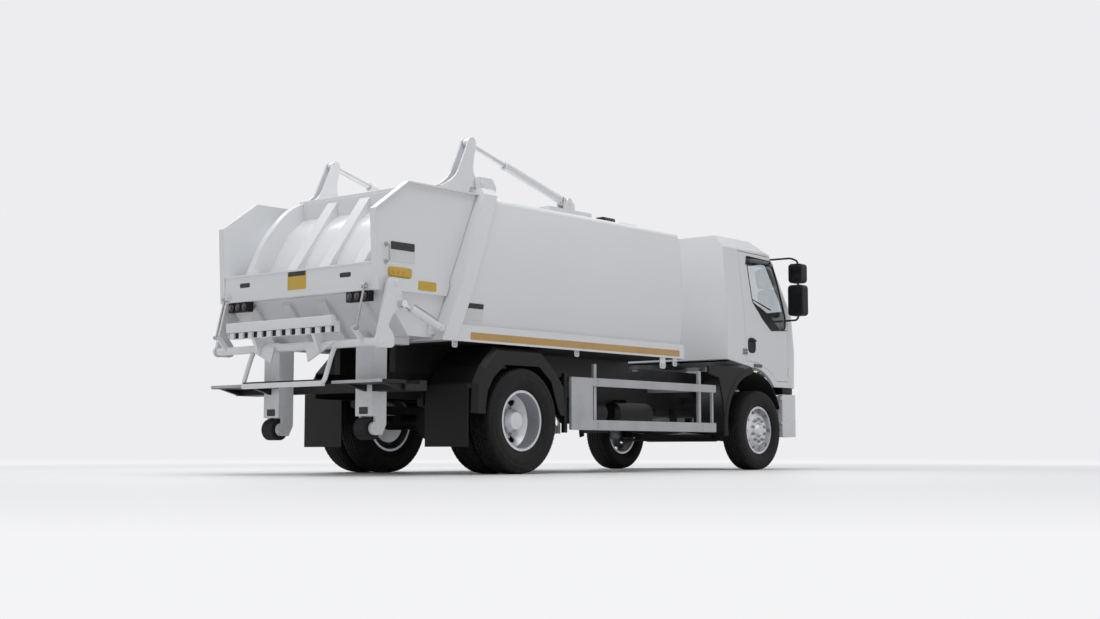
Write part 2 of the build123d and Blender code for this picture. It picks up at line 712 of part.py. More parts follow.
def side_guard():
    y0 = GUARD_Y - GUARD_THICK
    low, high = GUARD_RAILS[0][0], GUARD_RAILS[1][1]
    guard = block(GUARD_REAR_X, GUARD_REAR_X + GUARD_END_PLATE, y0, GUARD_Y, low, high)
    guard += block(GUARD_FRONT_X - GUARD_THICK, GUARD_FRONT_X, y0, GUARD_Y, low, high)
    for z0, z1 in GUARD_RAILS:
        guard += block(GUARD_REAR_X, GUARD_FRONT_X, y0, GUARD_Y, z0, z1)
    for x in GUARD_POST_X:
        guard += block(x, x + GUARD_POST_WIDTH, y0, GUARD_Y, low, high + GUARD_POST_RISE)
        guard += block(x, x + GUARD_POST_WIDTH, RAIL_Y, y0 + 1, high - GUARD_POST_WIDTH, high)
    return guard


def around_axle(points, scale):
    return [(x * scale, REAR_TYRE_R + (z - REAR_TYRE_R) * scale) for x, z in points]


def hood_body(lip, crown, y_lip, drop):
    # straight hood and the bevel that leads out to its lip; both feet reach down by the drop
    def closed(points):
        return [(points[0][0], points[0][1] - drop)] + list(points) + [(points[-1][0], points[-1][1] - drop)]
    y0, y1, _ = MUDGUARD_Y
    ends = []
    for points, y in ((closed(crown), y1), (closed(lip), y_lip)):
        ends.append(make_face(Polyline(*[(x, y, z) for x, z in points], close=True)))
    return slab_xz(closed(crown), y0, y1) + loft(ends, ruled=True)


def rear_mudguard():
    # octagonal hood over the twin tyres, with a deep lip outside and a flap hung behind
    y0, _, lip_y = MUDGUARD_Y
    wall = 1 - MUDGUARD_PLATE / REAR_TYRE_R
    crown = around_axle(LIP_OUTER, MUDGUARD_GROWTH)
    hood = hood_body(LIP_OUTER, crown, lip_y, 1)
    inner = hood_body(around_axle(LIP_OUTER, wall), around_axle(crown, wall), lip_y - MUDGUARD_PLATE,
                      REAR_TYRE_R / 2)
    mouth = [(LIP_INNER[0][0], 0)] + list(LIP_INNER) + [(LIP_INNER[-1][0], 0)]
    hood -= inner + slab_xz(mouth, y0, lip_y + 1)
    for x0, x1 in MUDGUARD_STAYS:
        hood += block(x0, x1, RAIL_Y + SPRING_WIDTH, y0 + 2 * MUDGUARD_PLATE, *MUDGUARD_STAY_Z)
    flap = block(FLAP_X - FLAP_PLATE, FLAP_X, y0, FLAP_OUTER_Y, *FLAP_Z)
    return hood + flap + block(FLAP_X - 1, MUDGUARD_STAYS[0][0] + 1, y0, FLAP_OUTER_Y, *MUDGUARD_STAY_Z)


def front_mudguard():
    # quarter hood behind a steered wheel, inside the arch of the cab
    y0, y1 = FRONT_GUARD_Y
    x, z = FRONT_AXLE_X, ARCH_Z - FRONT_GUARD_DROP
    reach = 2 * FRONT_GUARD_R
    bore = rod_y(x, z, FRONT_GUARD_R, y0 - 1, y1 + 1)
    ring = rod_y(x, z, FRONT_GUARD_R + FRONT_GUARD_PLATE, y0, y1) - bore
    quarter = slab_xz([(x, z), (x - FRONT_GUARD_DROP, z + reach), (x - reach, z + reach),
                       (x - reach, z - FRONT_GUARD_DROP * 3)], y0 - 1, y1 + 1)
    cheek = slab_xz(from_axle(FRONT_CHEEK), y1 - FRONT_FLANGE, y1) - bore
    stay = block(x + FRONT_GUARD_STAY[0], x + FRONT_GUARD_STAY[1], RAIL_Y, y0 + FRONT_FLANGE, *FRONT_STAY_Z)
    return (ring & quarter) + cheek + stay


# Refuse body


def seam_x(z):
    return SEAM_TOP_X - (SEAM_TOP_Z - z) * tan(radians(SEAM_LEAN))


def ahead_of_seam(offset, z0, z1, x_front):
    half = 2 * SKIRT_Y
    outline = [(seam_x(z0) + offset, z0), (x_front, z0), (x_front, z1), (seam_x(z1) + offset, z1)]
    return slab_xz(outline, -half, half)


SPACE_TOP = 3400
BODY_REACH = ahead_of_seam(RING_DEPTH, 0, SPACE_TOP, BODY_FRONT_X)


def side_arc(inset, y_shift, z0):
    return ThreePointArc(
        (0, SIDE_FOOT_Y - inset + y_shift, z0),
        (0, SIDE_BULGE_Y - inset + y_shift, SIDE_BULGE_Z),
        (0, SIDE_HEAD_Y - inset + y_shift, SIDE_HEAD_Z),
    )


def body_side():
    outer = side_arc(0, 0, SKIRT_TOP)
    inner = side_arc(BODY_WALL, 0, SKIRT_TOP)
    face = make_face([outer, Line(outer @ 1, inner @ 1), inner, Line(inner @ 0, outer @ 0)])
    wall = extrude(face, amount=BODY_FRONT_X + REAR_OVERHANG, dir=(1, 0, 0))
    return (Pos(-REAR_OVERHANG, 0, 0) * wall) & BODY_REACH


def roof_outline(inset, head_y, edge_y):
    edge_z = ROOF_EDGE_Z - inset
    bend_y = (head_y + edge_y) / 2 + 0.2 * (head_y - edge_y)
    bend_z = (SIDE_HEAD_Z + edge_z) / 2 + 0.2 * (edge_z - SIDE_HEAD_Z)
    left = ThreePointArc((0, head_y, SIDE_HEAD_Z), (0, bend_y, bend_z), (0, edge_y, edge_z))
    crown = ThreePointArc((0, edge_y, edge_z), (0, 0, ROOF_CROWN_Z - inset), (0, -edge_y, edge_z))
    right = ThreePointArc((0, -edge_y, edge_z), (0, -bend_y, bend_z), (0, -head_y, SIDE_HEAD_Z))
    return left, crown, right


def roof_solid(inset):
    left, crown, right = roof_outline(inset, SIDE_HEAD_Y - inset, ROOF_EDGE_Y - inset / 2)
    face = make_face([left, crown, right, Line(right @ 1, left @ 0)])
    solid = extrude(face, amount=BODY_FRONT_X + REAR_OVERHANG, dir=(1, 0, 0))
    return Pos(-REAR_OVERHANG, 0, 0) * solid


ROOF_OUTER = roof_solid(0)


def body_roof():
    return (ROOF_OUTER - roof_solid(BODY_WALL)) & BODY_REACH


def body_floor():
    top = SKIRT_BOTTOM + FLOOR_PLATE
    inner = SIDE_FOOT_Y - BODY_WALL
    plate = block(-REAR_OVERHANG, BODY_FRONT_X, -SKIRT_Y, SKIRT_Y, SKIRT_BOTTOM, top)
    for y0, y1 in ((inner, SKIRT_Y), (-SKIRT_Y, -inner)):
        plate += block(-REAR_OVERHANG, BODY_FRONT_X, y0, y1, top, SKIRT_TOP)
    plate = plate & BODY_REACH
    for y0 in (RAIL_Y - SUBFRAME_WIDTH, -RAIL_Y):
        plate += block(RAIL_REAR_X + 250, BODY_FRONT_X, y0, y0 + SUBFRAME_WIDTH, RAIL_TOP, SKIRT_BOTTOM)
    return plate


def body_front_wall():
    top = SKIRT_BOTTOM + FLOOR_PLATE
    inner = SIDE_FOOT_Y - BODY_WALL
    arc = side_arc(BODY_WALL, 0, SKIRT_TOP)
    left, crown, right = roof_outline(BODY_WALL, SIDE_HEAD_Y - BODY_WALL, ROOF_EDGE_Y - BODY_WALL / 2)
    arc_right = ThreePointArc(*[(0, -(arc @ t).Y, (arc @ t).Z) for t in (0, 0.5, 1)])
    foot = [Line((0, -inner, SKIRT_TOP), (0, -inner, top)), Line((0, -inner, top), (0, inner, top)),
            Line((0, inner, top), (0, inner, SKIRT_TOP))]
    face = make_face([arc, left, crown, right, arc_right] + foot)
    return Pos(BODY_FRONT_X - BODY_WALL, 0, 0) * extrude(face, amount=BODY_WALL, dir=(1, 0, 0))


def body_rear_ring():
    head_y = RING_SIDE_Y - RING_LEAN
    head_z = RING_TOP_Z - RING_CORNER
    bulge = RING_SIDE_Y + RING_BULGE
    side = ThreePointArc((0, RING_SIDE_Y, SKIRT_BOTTOM), (0, bulge, SIDE_BULGE_Z), (0, head_y, head_z))
    corner = Line((0, head_y, head_z), (0, head_y - RING_CORNER, RING_TOP_Z))
    top = Line(corner @ 1, (0, -(corner @ 1).Y, RING_TOP_Z))
    corner_right = Line(top @ 1, (0, -head_y, head_z))
    side_right = ThreePointArc((0, -head_y, head_z), (0, -bulge, SIDE_BULGE_Z),
                               (0, -RING_SIDE_Y, SKIRT_BOTTOM))
    face = make_face([side, corner, top, corner_right, side_right, Line(side_right @ 1, side @ 0)])
    bar = Pos(-REAR_OVERHANG, 0, 0) * extrude(face, amount=BODY_FRONT_X + REAR_OVERHANG, dir=(1, 0, 0))
    ring = bar & ahead_of_seam(0, 0, SPACE_TOP, BODY_FRONT_X)
    ring -= ahead_of_seam(RING_DEPTH, 0, SPACE_TOP, BODY_FRONT_X)
    ring -= block(-REAR_OVERHANG, BODY_FRONT_X, -RING_INNER_Y, RING_INNER_Y,
                  SKIRT_BOTTOM + FLOOR_PLATE, RING_TOP_Z - RING_HEAD)
    half = ARM_SLOT / 2 - SWING_GAP
    pin_half = ARM_SLOT / 2 + ARM_CHEEK + 2 * PIN_HEAD
    x0, x1 = HINGE[0] - HINGE_EYE_R, HINGE[0] + HINGE_EYE_R
    for y in (-LIFT_Y, LIFT_Y):
        ring += rod_y(*HINGE, HINGE_EYE_R, y - half, y + half)
        ring += block(x0, x1, y - half, y + half, RING_TOP_Z - 1, HINGE[1])
        ring += rod_y(*HINGE, HINGE_PIN_R, y - pin_half, y + pin_half)
    return ring


def roof_rails():
    # a saddle plate on each edge of the roof with two lugs for the foot of a lift cylinder
    x, z = CYL_BASE
    cheek_y = (ARM_SLOT + ARM_CHEEK) / 2
    plate_half = ARM_SLOT / 2 + ARM_CHEEK + BASE_PLATE_SIDE
    pin_half = ARM_SLOT / 2 + ARM_CHEEK + 2 * PIN_HEAD
    rails = []
    for y in (-LIFT_Y, LIFT_Y):
        base = block(x - BASE_PLATE_LENGTH / 2, x + BASE_PLATE_LENGTH / 2, y - plate_half, y + plate_half,
                     SIDE_HEAD_Z, ROOF_CROWN_Z)
        base -= ROOF_OUTER
        for lug_y in (y - cheek_y, y + cheek_y):
            y0, y1 = lug_y - ARM_CHEEK / 2, lug_y + ARM_CHEEK / 2
            base += rod_y(x, z, HINGE_EYE_R, y0, y1)
            base += block(x - BASE_LUG, x + BASE_LUG, y0, y1, ROOF_CROWN_Z - 1, z)
        base += rod_y(x, z, HINGE_PIN_R, y - pin_half, y + pin_half)
        rails.append(base)
    return rails


# Tailgate


def gate_front_x(z):
    return seam_x(z) - PANEL_GAP


def gate_outline(z_low):
    foot = [(GATE_TAIL_X + SILL_DEPTH, SILL_BOTTOM), (BELLY_REAR_X, z_low), (gate_front_x(z_low), z_low)]
    return gate_edge() + foot


def gate_edge():
    # top, shoulder and tail of a side plate
    return [(gate_front_x(GATE_TOP_Z), GATE_TOP_Z), (GATE_TOP_REAR_X, GATE_TOP_Z),
            (GATE_SHOULDER_X, GATE_SHOULDER_Z), (GATE_TAIL_X, SILL_BOTTOM)]


def beside(points, gap):
    # an open outline moved sideways by the gap, to the left of its direction
    normals = []
    for (x0, z0), (x1, z1) in zip(points, points[1:]):
        length = hypot(x1 - x0, z1 - z0)
        normals.append(((z0 - z1) / length, (x1 - x0) / length))
    moved = []
    for i, (x, z) in enumerate(points):
        a = normals[max(0, i - 1)]
        b = normals[min(i, len(normals) - 1)]
        reach = gap / (1 + a[0] * b[0] + a[1] * b[1])
        moved.append((x + (a[0] + b[0]) * reach, z + (a[1] + b[1]) * reach))
    return moved


def tailgate_side():
    y0 = GATE_Y - GATE_PLATE
    y1 = GATE_Y + SIDE_BEAM_PROUD
    plate = slab_xz(gate_outline(BELLY_Z), y0, GATE_Y)
    edge = gate_edge()
    plate += slab_xz(edge + beside(edge, GATE_FLANGE)[::-1], y0, y1)
    z0, z1 = SIDE_BEAM_Z
    plate += slab_xz([(SIDE_BEAM_REAR_X, z0), (gate_front_x(z0) - SWING_GAP, z0),
                      (gate_front_x(z1) - SWING_GAP, z1), (SIDE_BEAM_REAR_X, z1)], y0, y1)
    plate += rod_y(*ARM_PIVOT, HINGE_PIN_R, GATE_Y, ARM_Y + PIN_HEAD)
    x, z = BIN_CYL_BASE
    half = 3 * BIN_LUG
    lug = block(x - half, x + half, y0, GATE_Y + BIN_LUG, z - half, z + half)
    plate += lug & slab_xz(gate_outline(BELLY_Z), y0, GATE_Y + BIN_LUG)
    return plate + rod_y(x, z, BIN_PIN_R, GATE_Y, BIN_CYL_Y + BIN_BARREL_R + PIN_HEAD)


BIN_CYL_Y = ARM_Y + PANEL_GAP + BIN_BARREL_R


def hood_cut(radius, y0, y1):
    return rod_y(HOOD_X, HOOD_Z, radius, y0, y1)


def tailgate_hood():
    half = GATE_Y - GATE_PLATE
    roof_z = HOOD_Z + HOOD_R
    quarter = block(HOOD_X - 2 * HOOD_R, HOOD_X, -half, half, SILL_TOP, roof_z + HOOD_R)
    hood = (hood_cut(HOOD_R, -half, half) - hood_cut(HOOD_R - HOOD_PLATE, -half - 1, half + 1)) & quarter
    for y in HOOD_RIB_Y:
        y0, y1 = y - HOOD_RIB_WIDTH / 2, y + HOOD_RIB_WIDTH / 2
        rib = rod_y(HOOD_RIB_X, HOOD_RIB_Z, HOOD_RIB_R, y0, y1)
        rib -= hood_cut(HOOD_R - HOOD_PLATE / 8, y0 - 1, y1 + 1)
        hood += rib & block(HOOD_X - 2 * HOOD_R, HOOD_X + HOOD_LINTEL, y0, y1, SILL_TOP, GATE_TOP_Z)
    low = roof_z - HOOD_PLATE
    hood += slab_xz([(HOOD_X - 1, roof_z), (HOOD_X - 1, low), (gate_front_x(low), low),
                     (gate_front_x(roof_z), roof_z)], -half, half)
    hood += block(HOOD_X - HOOD_LINTEL, HOOD_X + HOOD_LINTEL, -half, half, low - HOOD_LINTEL, roof_z)
    cheek_y = (ARM_SLOT + ARM_CHEEK) / 2
    for y in (-LIFT_Y - cheek_y, cheek_y - LIFT_Y, LIFT_Y - cheek_y, LIFT_Y + cheek_y):
        hood += lift_cheek(y - ARM_CHEEK / 2, roof_z)
    return hood


def lift_cheek(y0, roof_z):
    # one plate of a lifting arm, from the roof of the tailgate up to the cylinder's eye
    rear = HINGE[0] - CHEEK_BACK
    y1 = y0 + ARM_CHEEK
    web = slab_xz([
        (rear, roof_z - 1), (SEAM_TOP_X - 2 * HINGE_EYE_R, roof_z - 1),
        (SEAM_TOP_X - 40, RING_TOP_Z + SWING_GAP),
        (HINGE[0], HINGE[1] - HINGE_EYE_R + 2), (HINGE[0] + HINGE_EYE_R - 6, HINGE[1] + 20),
        (ARM_EYE[0] + ARM_EYE_R - 4, ARM_EYE[1] - 40), (ARM_EYE[0] - ARM_EYE_R + 4, ARM_EYE[1] - 20),
        (rear + CHEEK_TAPER, roof_z + CHEEK_RISE),
    ], y0, y1)
    cheek = web + rod_y(*HINGE, HINGE_EYE_R, y0, y1) + rod_y(*ARM_EYE, ARM_EYE_R, y0, y1)
    return cheek - rod_y(*HINGE, HINGE_PIN_R + FIT, y0 - 1, y1 + 1)


def tailgate_trough():
    # sill beam, sloped belly and the channel ribs under it
    half = GATE_Y - GATE_PLATE
    tail_x = GATE_TAIL_X + SILL_DEPTH
    front_x = gate_front_x(BELLY_Z)
    belly_top = BELLY_Z + BELLY_PLATE
    trough = block(GATE_TAIL_X, tail_x, -half, half, SILL_BOTTOM, SILL_TOP)
    trough += block(GATE_TAIL_X, HOOD_X - HOOD_R + HOOD_PLATE, -half, half, SILL_TOP - BELLY_PLATE, SILL_TOP)
    trough += slab_xz([
        (tail_x, SILL_BOTTOM), (BELLY_REAR_X, BELLY_Z), (front_x, BELLY_Z),
        (gate_front_x(belly_top), belly_top), (BELLY_REAR_X + 12, belly_top),
        (tail_x + BELLY_PLATE, SILL_BOTTOM + 5), (tail_x - 5, SILL_BOTTOM + 5),
    ], -half, half)
    rib_z = BELLY_Z - BELLY_RIB_DEPTH
    rib_x = front_x - BELLY_PLATE
    for y in BELLY_RIB_Y:
        trough += slab_xz([
            (tail_x + 8, SILL_BOTTOM - BELLY_RIB_DEPTH), (BELLY_REAR_X - 20, rib_z), (rib_x, rib_z),
            (rib_x, BELLY_Z + 5), (BELLY_REAR_X + 5, BELLY_Z + 5), (tail_x + 18, SILL_BOTTOM - 20),
        ], y - BELLY_RIB_WIDTH / 2, y + BELLY_RIB_WIDTH / 2)
    x, z = LINK_HEAD
    edge = LINK_PIN_R + PIN_HEAD
    for y in (-LINK_Y, LINK_Y):
        y0, y1 = link_plate(y)
        trough += slab_xz([(GATE_TAIL_X, SILL_BOTTOM + 10), (GATE_TAIL_X, SILL_BOTTOM + 80),
                           (x - edge, z + edge), (x - edge, z - edge)], y0, y1)
        trough += rod_y(x, z, LINK_PIN_R, min(y0, y - LINK_EYE), max(y1, y + LINK_EYE))
    return trough


def link_plate(y):
    # the plate that a link's eye turns beside, on the inner side of the eye
    outer = abs(y) - LINK_EYE - FACE_GAP
    return (outer - LINK_PLATE, outer) if y > 0 else (-outer, LINK_PLATE - outer)


def tail_lamps():
    depth, width, height = LAMP_SIZE
    x0 = GATE_TAIL_X + LAMP_PROUD
    z0 = SILL_BOTTOM - height
    lamps = []
    for y in (-LAMP_ROW_Y, LAMP_ROW_Y):
        lamp = block(x0, x0 + depth, y - width / 2, y + width / 2, z0, SILL_BOTTOM)
        for i in (-1, 0, 1):
            lamp += rod_x(y + i * LAMP_PITCH, z0 + height / 2, LAMP_LENS_R, GATE_TAIL_X + 2, x0 + 2)
        lamps.append(lamp)
    return lamps


def guard_posts():
    # two box posts; each ends in two side plates with a rounded foot round the roller's pin
    x0 = POST_REAR_X
    x1 = POST_REAR_X + POST_DEPTH
    shoulder = ROLLER_Z + ROLLER_R + SWING_GAP
    foot = ROLLER_Z - POST_FOOT_R
    back, rise = POST_CHAMFER
    head = shoulder + 1
    cheek = [(ROLLER_X, head), (x1, head), (x1, foot + rise), (x1 - back, foot), (ROLLER_X, foot)]
    posts = []
    for y in (-POST_Y, POST_Y):
        y0, y1 = y - POST_WIDTH / 2, y + POST_WIDTH / 2
        post = block(x0, x1, y0, y1, shoulder, BELLY_Z)
        for c0, c1 in ((y0, y0 + POST_CHEEK), (y1 - POST_CHEEK, y1)):
            post += slab_xz(cheek, c0, c1) + rod_y(ROLLER_X, ROLLER_Z, POST_FOOT_R, c0, c1)
        post += rod_y(ROLLER_X, ROLLER_Z, ROLLER_PIN_R, y0, y1)
        for rib_y in BELLY_RIB_Y:
            post -= block(x0 - 5, x1 + 5, rib_y - BELLY_RIB_WIDTH / 2, rib_y + BELLY_RIB_WIDTH / 2,
                          BELLY_Z - BELLY_RIB_DEPTH, BELLY_Z + 10)
        posts.append(post)
    return posts


def rear_steps():
    # a step plate outside each post on a tapered bracket, and the bar between them
    x0 = POST_REAR_X
    x1 = POST_REAR_X + POST_DEPTH
    low = STEP_Z - STEP_PLATE
    steps = []
    for side in (-1, 1):
        y0, y1 = sorted((side * (POST_Y - POST_WIDTH / 2), side * STEP_OUTER_Y))
        step = block(STEP_REAR_X, x0, y0, y1, low, STEP_Z)
        for y in (POST_Y, STEP_OUTER_Y - 2 * STEP_STAY_WIDTH):
            s0, s1 = sorted((side * y, side * (y + STEP_STAY_WIDTH)))
            stay = [(STEP_REAR_X + STEP_STAY, low + 1), (x0, low + 1), (x0, low - STEP_STAY)]
            step += slab_xz(stay, s0, s1)
        outside = sorted((side * (POST_Y + POST_WIDTH / 2), side * UNDERRUN_HALF))
        steps.append(step + block(x0 - 1, x1 + UNDERRUN_SIZE, *outside, low - STEP_STAY, low))
    half = UNDERRUN_SIZE / 2
    bar = block(x1, x1 + UNDERRUN_SIZE, -UNDERRUN_HALF, UNDERRUN_HALF, UNDERRUN_Z - half, UNDERRUN_Z + half)
    return steps[0] + bar + steps[1]


def guard_rollers():
    half = POST_WIDTH / 2 - POST_CHEEK - PANEL_GAP
    rollers = []
    for y in (-POST_Y, POST_Y):
        roller = rod_y(ROLLER_X, ROLLER_Z, ROLLER_R, y - half, y + half)
        rollers.append(roller - rod_y(ROLLER_X, ROLLER_Z, ROLLER_PIN_R + FIT, y - 2 * half, y + 2 * half))
    return rollers


# Tailgate lift cylinders


def lift_barrel(y):
    def at(distance):
        return along(CYL_BASE, ARM_EYE, distance)
    tip = at(LIFT_BARREL_LENGTH)
    past = at(LIFT_BARREL_LENGTH + LIFT_GLAND)
    barrel = strut(CYL_BASE, tip, LIFT_BARREL_R, y)
    barrel -= strut(at(BORE_START), past, LIFT_BARREL_R - LIFT_BARREL_WALL, y)
    gland = strut(at(LIFT_BARREL_LENGTH - LIFT_GLAND), tip, LIFT_BARREL_R - 1, y)
    gland -= strut(at(LIFT_BARREL_LENGTH - 2 * LIFT_GLAND), past, LIFT_ROD_R + FIT, y)
    half = ARM_SLOT / 2 - SWING_GAP
    eye = rod_y(*CYL_BASE, HINGE_EYE_R - 4, y - half, y + half)
    clear = at(2 * LIFT_BARREL_R + 14)
    keep = block(clear[0], CYL_BASE[0] + 200, y - half, y + half, 0, SPACE_TOP) + strut(clear, tip, 200, y)
    return ((barrel + gland) & keep) + eye - rod_y(*CYL_BASE, HINGE_PIN_R + FIT, y - 100, y + 100)


def lift_rod(y):
    start = along(CYL_BASE, ARM_EYE, LIFT_STROKE + LIFT_ROD_TAIL)
    half = ARM_SLOT / 2 - SWING_GAP
    rod = strut(start, along(ARM_EYE, CYL_BASE, LIFT_ROD_R), LIFT_ROD_R, y)
    return rod + rod_y(*ARM_EYE, ARM_EYE_R - 10, y - half, y + half)


# Bin lifter


def lifter_arm():
    y0 = ARM_Y - LIFTER_ARM_PLATE
    arm = slab_xz([
        (ARM_PIVOT[0] - 40, ARM_PIVOT[1] + 20), (ARM_PIVOT[0] + 44, ARM_PIVOT[1] + 10),
        (ARM_LUG[0] + 40, ARM_LUG[1] + 10), (ARM_LUG[0] + 10, ARM_LUG[1] - 45), (-1760, 1430),
        (FRAME_PIVOT[0] + 45, FRAME_PIVOT[1] - 10), (FRAME_PIVOT[0] - 45, FRAME_PIVOT[1] + 10), (-1830, 1460),
    ], y0, ARM_Y)
    for centre in (ARM_PIVOT, FRAME_PIVOT):
        arm += rod_y(*centre, PIVOT_BOSS_R, y0, ARM_Y)
    arm += rod_y(*ARM_LUG, BIN_EYE_R + 10, y0, ARM_Y)
    arm -= rod_y(*ARM_PIVOT, HINGE_PIN_R + FIT, 0, 2 * ARM_Y)
    return arm - rod_y(*FRAME_PIVOT, HINGE_PIN_R + FIT, 0, 2 * ARM_Y)


def lifter_frame():
    # crossbar with its pins, the comb on two webs, the bin rest and a lever for each tilt link
    x, z = FRAME_PIVOT
    inner = ARM_Y - LIFTER_ARM_PLATE - SWING_GAP
    frame = rod_y(x, z, CROSSBAR_R, -inner, inner)
    frame += rod_y(x, z, HINGE_PIN_R, -ARM_Y - PIN_HEAD, ARM_Y + PIN_HEAD)
    frame += comb() + bin_rest()
    low, _ = COMB_Z
    for side in (-1, 1):
        frame += slab_yz([(side * y, edge_z) for y, edge_z in GUSSET], x + GUSSET_X[0], x + GUSSET_X[1])
        frame += slab_xz([(x + 30, z + 30), (x - 20, z - 60), (x - 80, z - 60), (COMB_X + 20, low + 10),
                          (COMB_X + COMB_DEPTH, low + 40)], side * WEB_Y - WEB_HALF, side * WEB_Y + WEB_HALF)
        frame += slab_xz([(x + 20, z), (x - 30, z - 20), (LINK_FOOT[0] - 22, LINK_FOOT[1]),
                          (LINK_FOOT[0] + 14, LINK_FOOT[1] + 20)], *link_plate(side * LINK_Y))
    return frame


def comb():
    # beam with a row of teeth that hook under the rim of a bin
    beam = block(COMB_X, COMB_X + COMB_DEPTH, -COMB_HALF, COMB_HALF, *COMB_Z)
    root = COMB_Z[1] - 5
    tip = COMB_Z[1] + TOOTH_RISE
    reach = COMB_HALF - TOOTH_INSET
    for i in range(COMB_TEETH):
        y = 2 * reach * i / (COMB_TEETH - 1) - reach
        tooth = [(COMB_X, root), (COMB_X - COMB_TOOTH, tip), (COMB_X - COMB_TOOTH / 2, tip + 4),
                 (COMB_X + TOOTH_RISE, root)]
        beam += slab_xz(tooth, y - TOOTH_HALF, y + TOOTH_HALF)
    return beam


def bin_rest():
    # one bent tube that the lower part of a bin leans on
    side = [(FRAME_PIVOT[0], FRAME_PIVOT[1]), REST_HEAD, REST_FOOT]
    stations = [(x, REST_HALF, z) for x, z in side] + [(x, -REST_HALF, z) for x, z in reversed(side)]
    route = FilletPolyline(*stations, radius=REST_BEND)
    return sweep(Plane(origin=route @ 0, z_dir=route % 0) * Circle(REST_BAR_R), path=route)


def tilt_links():
    links = []
    for y in (-LINK_Y, LINK_Y):
        link = strut(LINK_HEAD, LINK_FOOT, LINK_R, y)
        for end in (LINK_HEAD, LINK_FOOT):
            link += rod_y(*end, 2 * LINK_R, y - LINK_EYE, y + LINK_EYE)
        links.append(link - rod_y(*LINK_HEAD, LINK_PIN_R + FIT, y - 2 * LINK_EYE, y + 2 * LINK_EYE))
    return links


def bin_barrel(y):
    def at(distance):
        return along(BIN_CYL_BASE, ARM_LUG, distance)
    barrel = strut(at(BIN_FOOT), at(BIN_BARREL_LENGTH), BIN_BARREL_R, y)
    barrel -= strut(at(BORE_START), at(BIN_BARREL_LENGTH + BIN_FOOT), BIN_ROD_R + FIT, y)
    half = BIN_BARREL_R - 6
    barrel += rod_y(*BIN_CYL_BASE, BIN_EYE_R + 2, y - half, y + half)
    return barrel - rod_y(*BIN_CYL_BASE, BIN_PIN_R + FIT, y - 2 * BIN_BARREL_R, y + 2 * BIN_BARREL_R)


def bin_rod(y):
    start = along(BIN_CYL_BASE, ARM_LUG, BIN_BARREL_LENGTH - BIN_STROKE - BIN_TAIL)
    rod = strut(start, ARM_LUG, BIN_ROD_R, y)
    inward = abs(y) - ARM_Y - FACE_GAP
    y0, y1 = (y - inward, y + BIN_EYE_HALF) if y > 0 else (y - BIN_EYE_HALF, y + inward)
    return rod + rod_y(*ARM_LUG, BIN_EYE_R, y0, y1)


# Cab


def cab_section(z, front, half, inset):
    front_x = FRONT_AXLE_X + front - inset
    rear_x = CAB_REAR + inset
    y = half - inset
    corner = CAB_CORNER_R
    edge_x = front_x - CAB_FRONT_CROWN
    bend = corner * (1 - sqrt(0.5))
    left = ThreePointArc((edge_x - corner, y, z), (edge_x - bend, y - bend, z), (edge_x, y - corner, z))
    face = ThreePointArc((edge_x, y - corner, z), (front_x, 0, z), (edge_x, corner - y, z))
    right = ThreePointArc((edge_x, corner - y, z), (edge_x - bend, bend - y, z), (edge_x - corner, -y, z))
    lines = [Line((edge_x - corner, -y, z), (rear_x, -y, z)), Line((rear_x, -y, z), (rear_x, y, z)),
             Line((rear_x, y, z), (edge_x - corner, y, z))]
    return make_face([left, face, right] + lines)


def cab_loft(inset, z_low, z_high):
    sections = [(z, front, half) for z, front, half in CAB_SECTIONS]
    bottom = sections[0]
    top = sections[-1]
    heights = [(z_low, bottom[1], bottom[2])] + sections[1:-1] + [(z_high, top[1], top[2])]
    return loft([cab_section(z, front, half, inset) for z, front, half in heights], ruled=True)


def cab_low_cut():
    # wheel arches and the rising edge under the rear of the cab
    x, z = FRONT_AXLE_X, ARCH_Z
    arch_low = x + sqrt(ARCH_R ** 2 - (CAB_NOSE_BOTTOM - ARCH_Z) ** 2)
    wheel = rod_y(x, z, ARCH_R, -2000, 2000)
    rear = slab_xz([(x - 1500, 0), (arch_low - 20, 0), (arch_low - 20, CAB_NOSE_BOTTOM), (x, ARCH_Z + ARCH_R),
                    (CAB_REAR, CAB_REAR_BOTTOM), (x - 1500, CAB_REAR_BOTTOM)], -2000, 2000)
    return wheel + rear


CAB_TOP = CAB_SECTIONS[-1][0]
CAB_LOW_CUT = cab_low_cut()
CAB_OUTER = cab_loft(0, CAB_NOSE_BOTTOM, CAB_TOP)
CAB_INNER = cab_loft(CAB_WALL, CAB_FLOOR_Z + CAB_FLOOR_PLATE, CAB_TOP - CAB_WALL)
CAB_UNDER = extrude(cab_section(CAB_NOSE_BOTTOM - 1, *CAB_SECTIONS[0][1:], CAB_WALL),
                    amount=CAB_FLOOR_Z - CAB_NOSE_BOTTOM + 1, dir=(0, 0, 1))
CAB_SKIN = CAB_OUTER - CAB_INNER - CAB_UNDER - CAB_LOW_CUT
CAB_WALLS = CAB_OUTER - cab_loft(CAB_WALL, CAB_NOSE_BOTTOM - 1, CAB_TOP - CAB_WALL) - CAB_LOW_CUT
CAB_ROOM = cab_loft(CAB_WALL + PANEL_GAP, CAB_NOSE_BOTTOM - 1, CAB_TOP - CAB_WALL - PANEL_GAP)


def from_axle(points):
    return [(FRONT_AXLE_X + x, z) for x, z in points]


DOOR_OUTLINE = from_axle([(-225, 2635), (590, 2620), (810, 1905), (810, 1085), (545, 1085), (380, 1200),
                          (130, 1290), (-150, 1310)])
WINDOW_OUTLINE = from_axle([(-60, 2590), (565, 2570), (775, 1870), (765, 1740), (620, 1720), (430, 1860),
                            (20, 2020)])
SCREEN_OUTLINE = [(-900, 1985), (-830, 2590), (830, 2590), (900, 1985)]


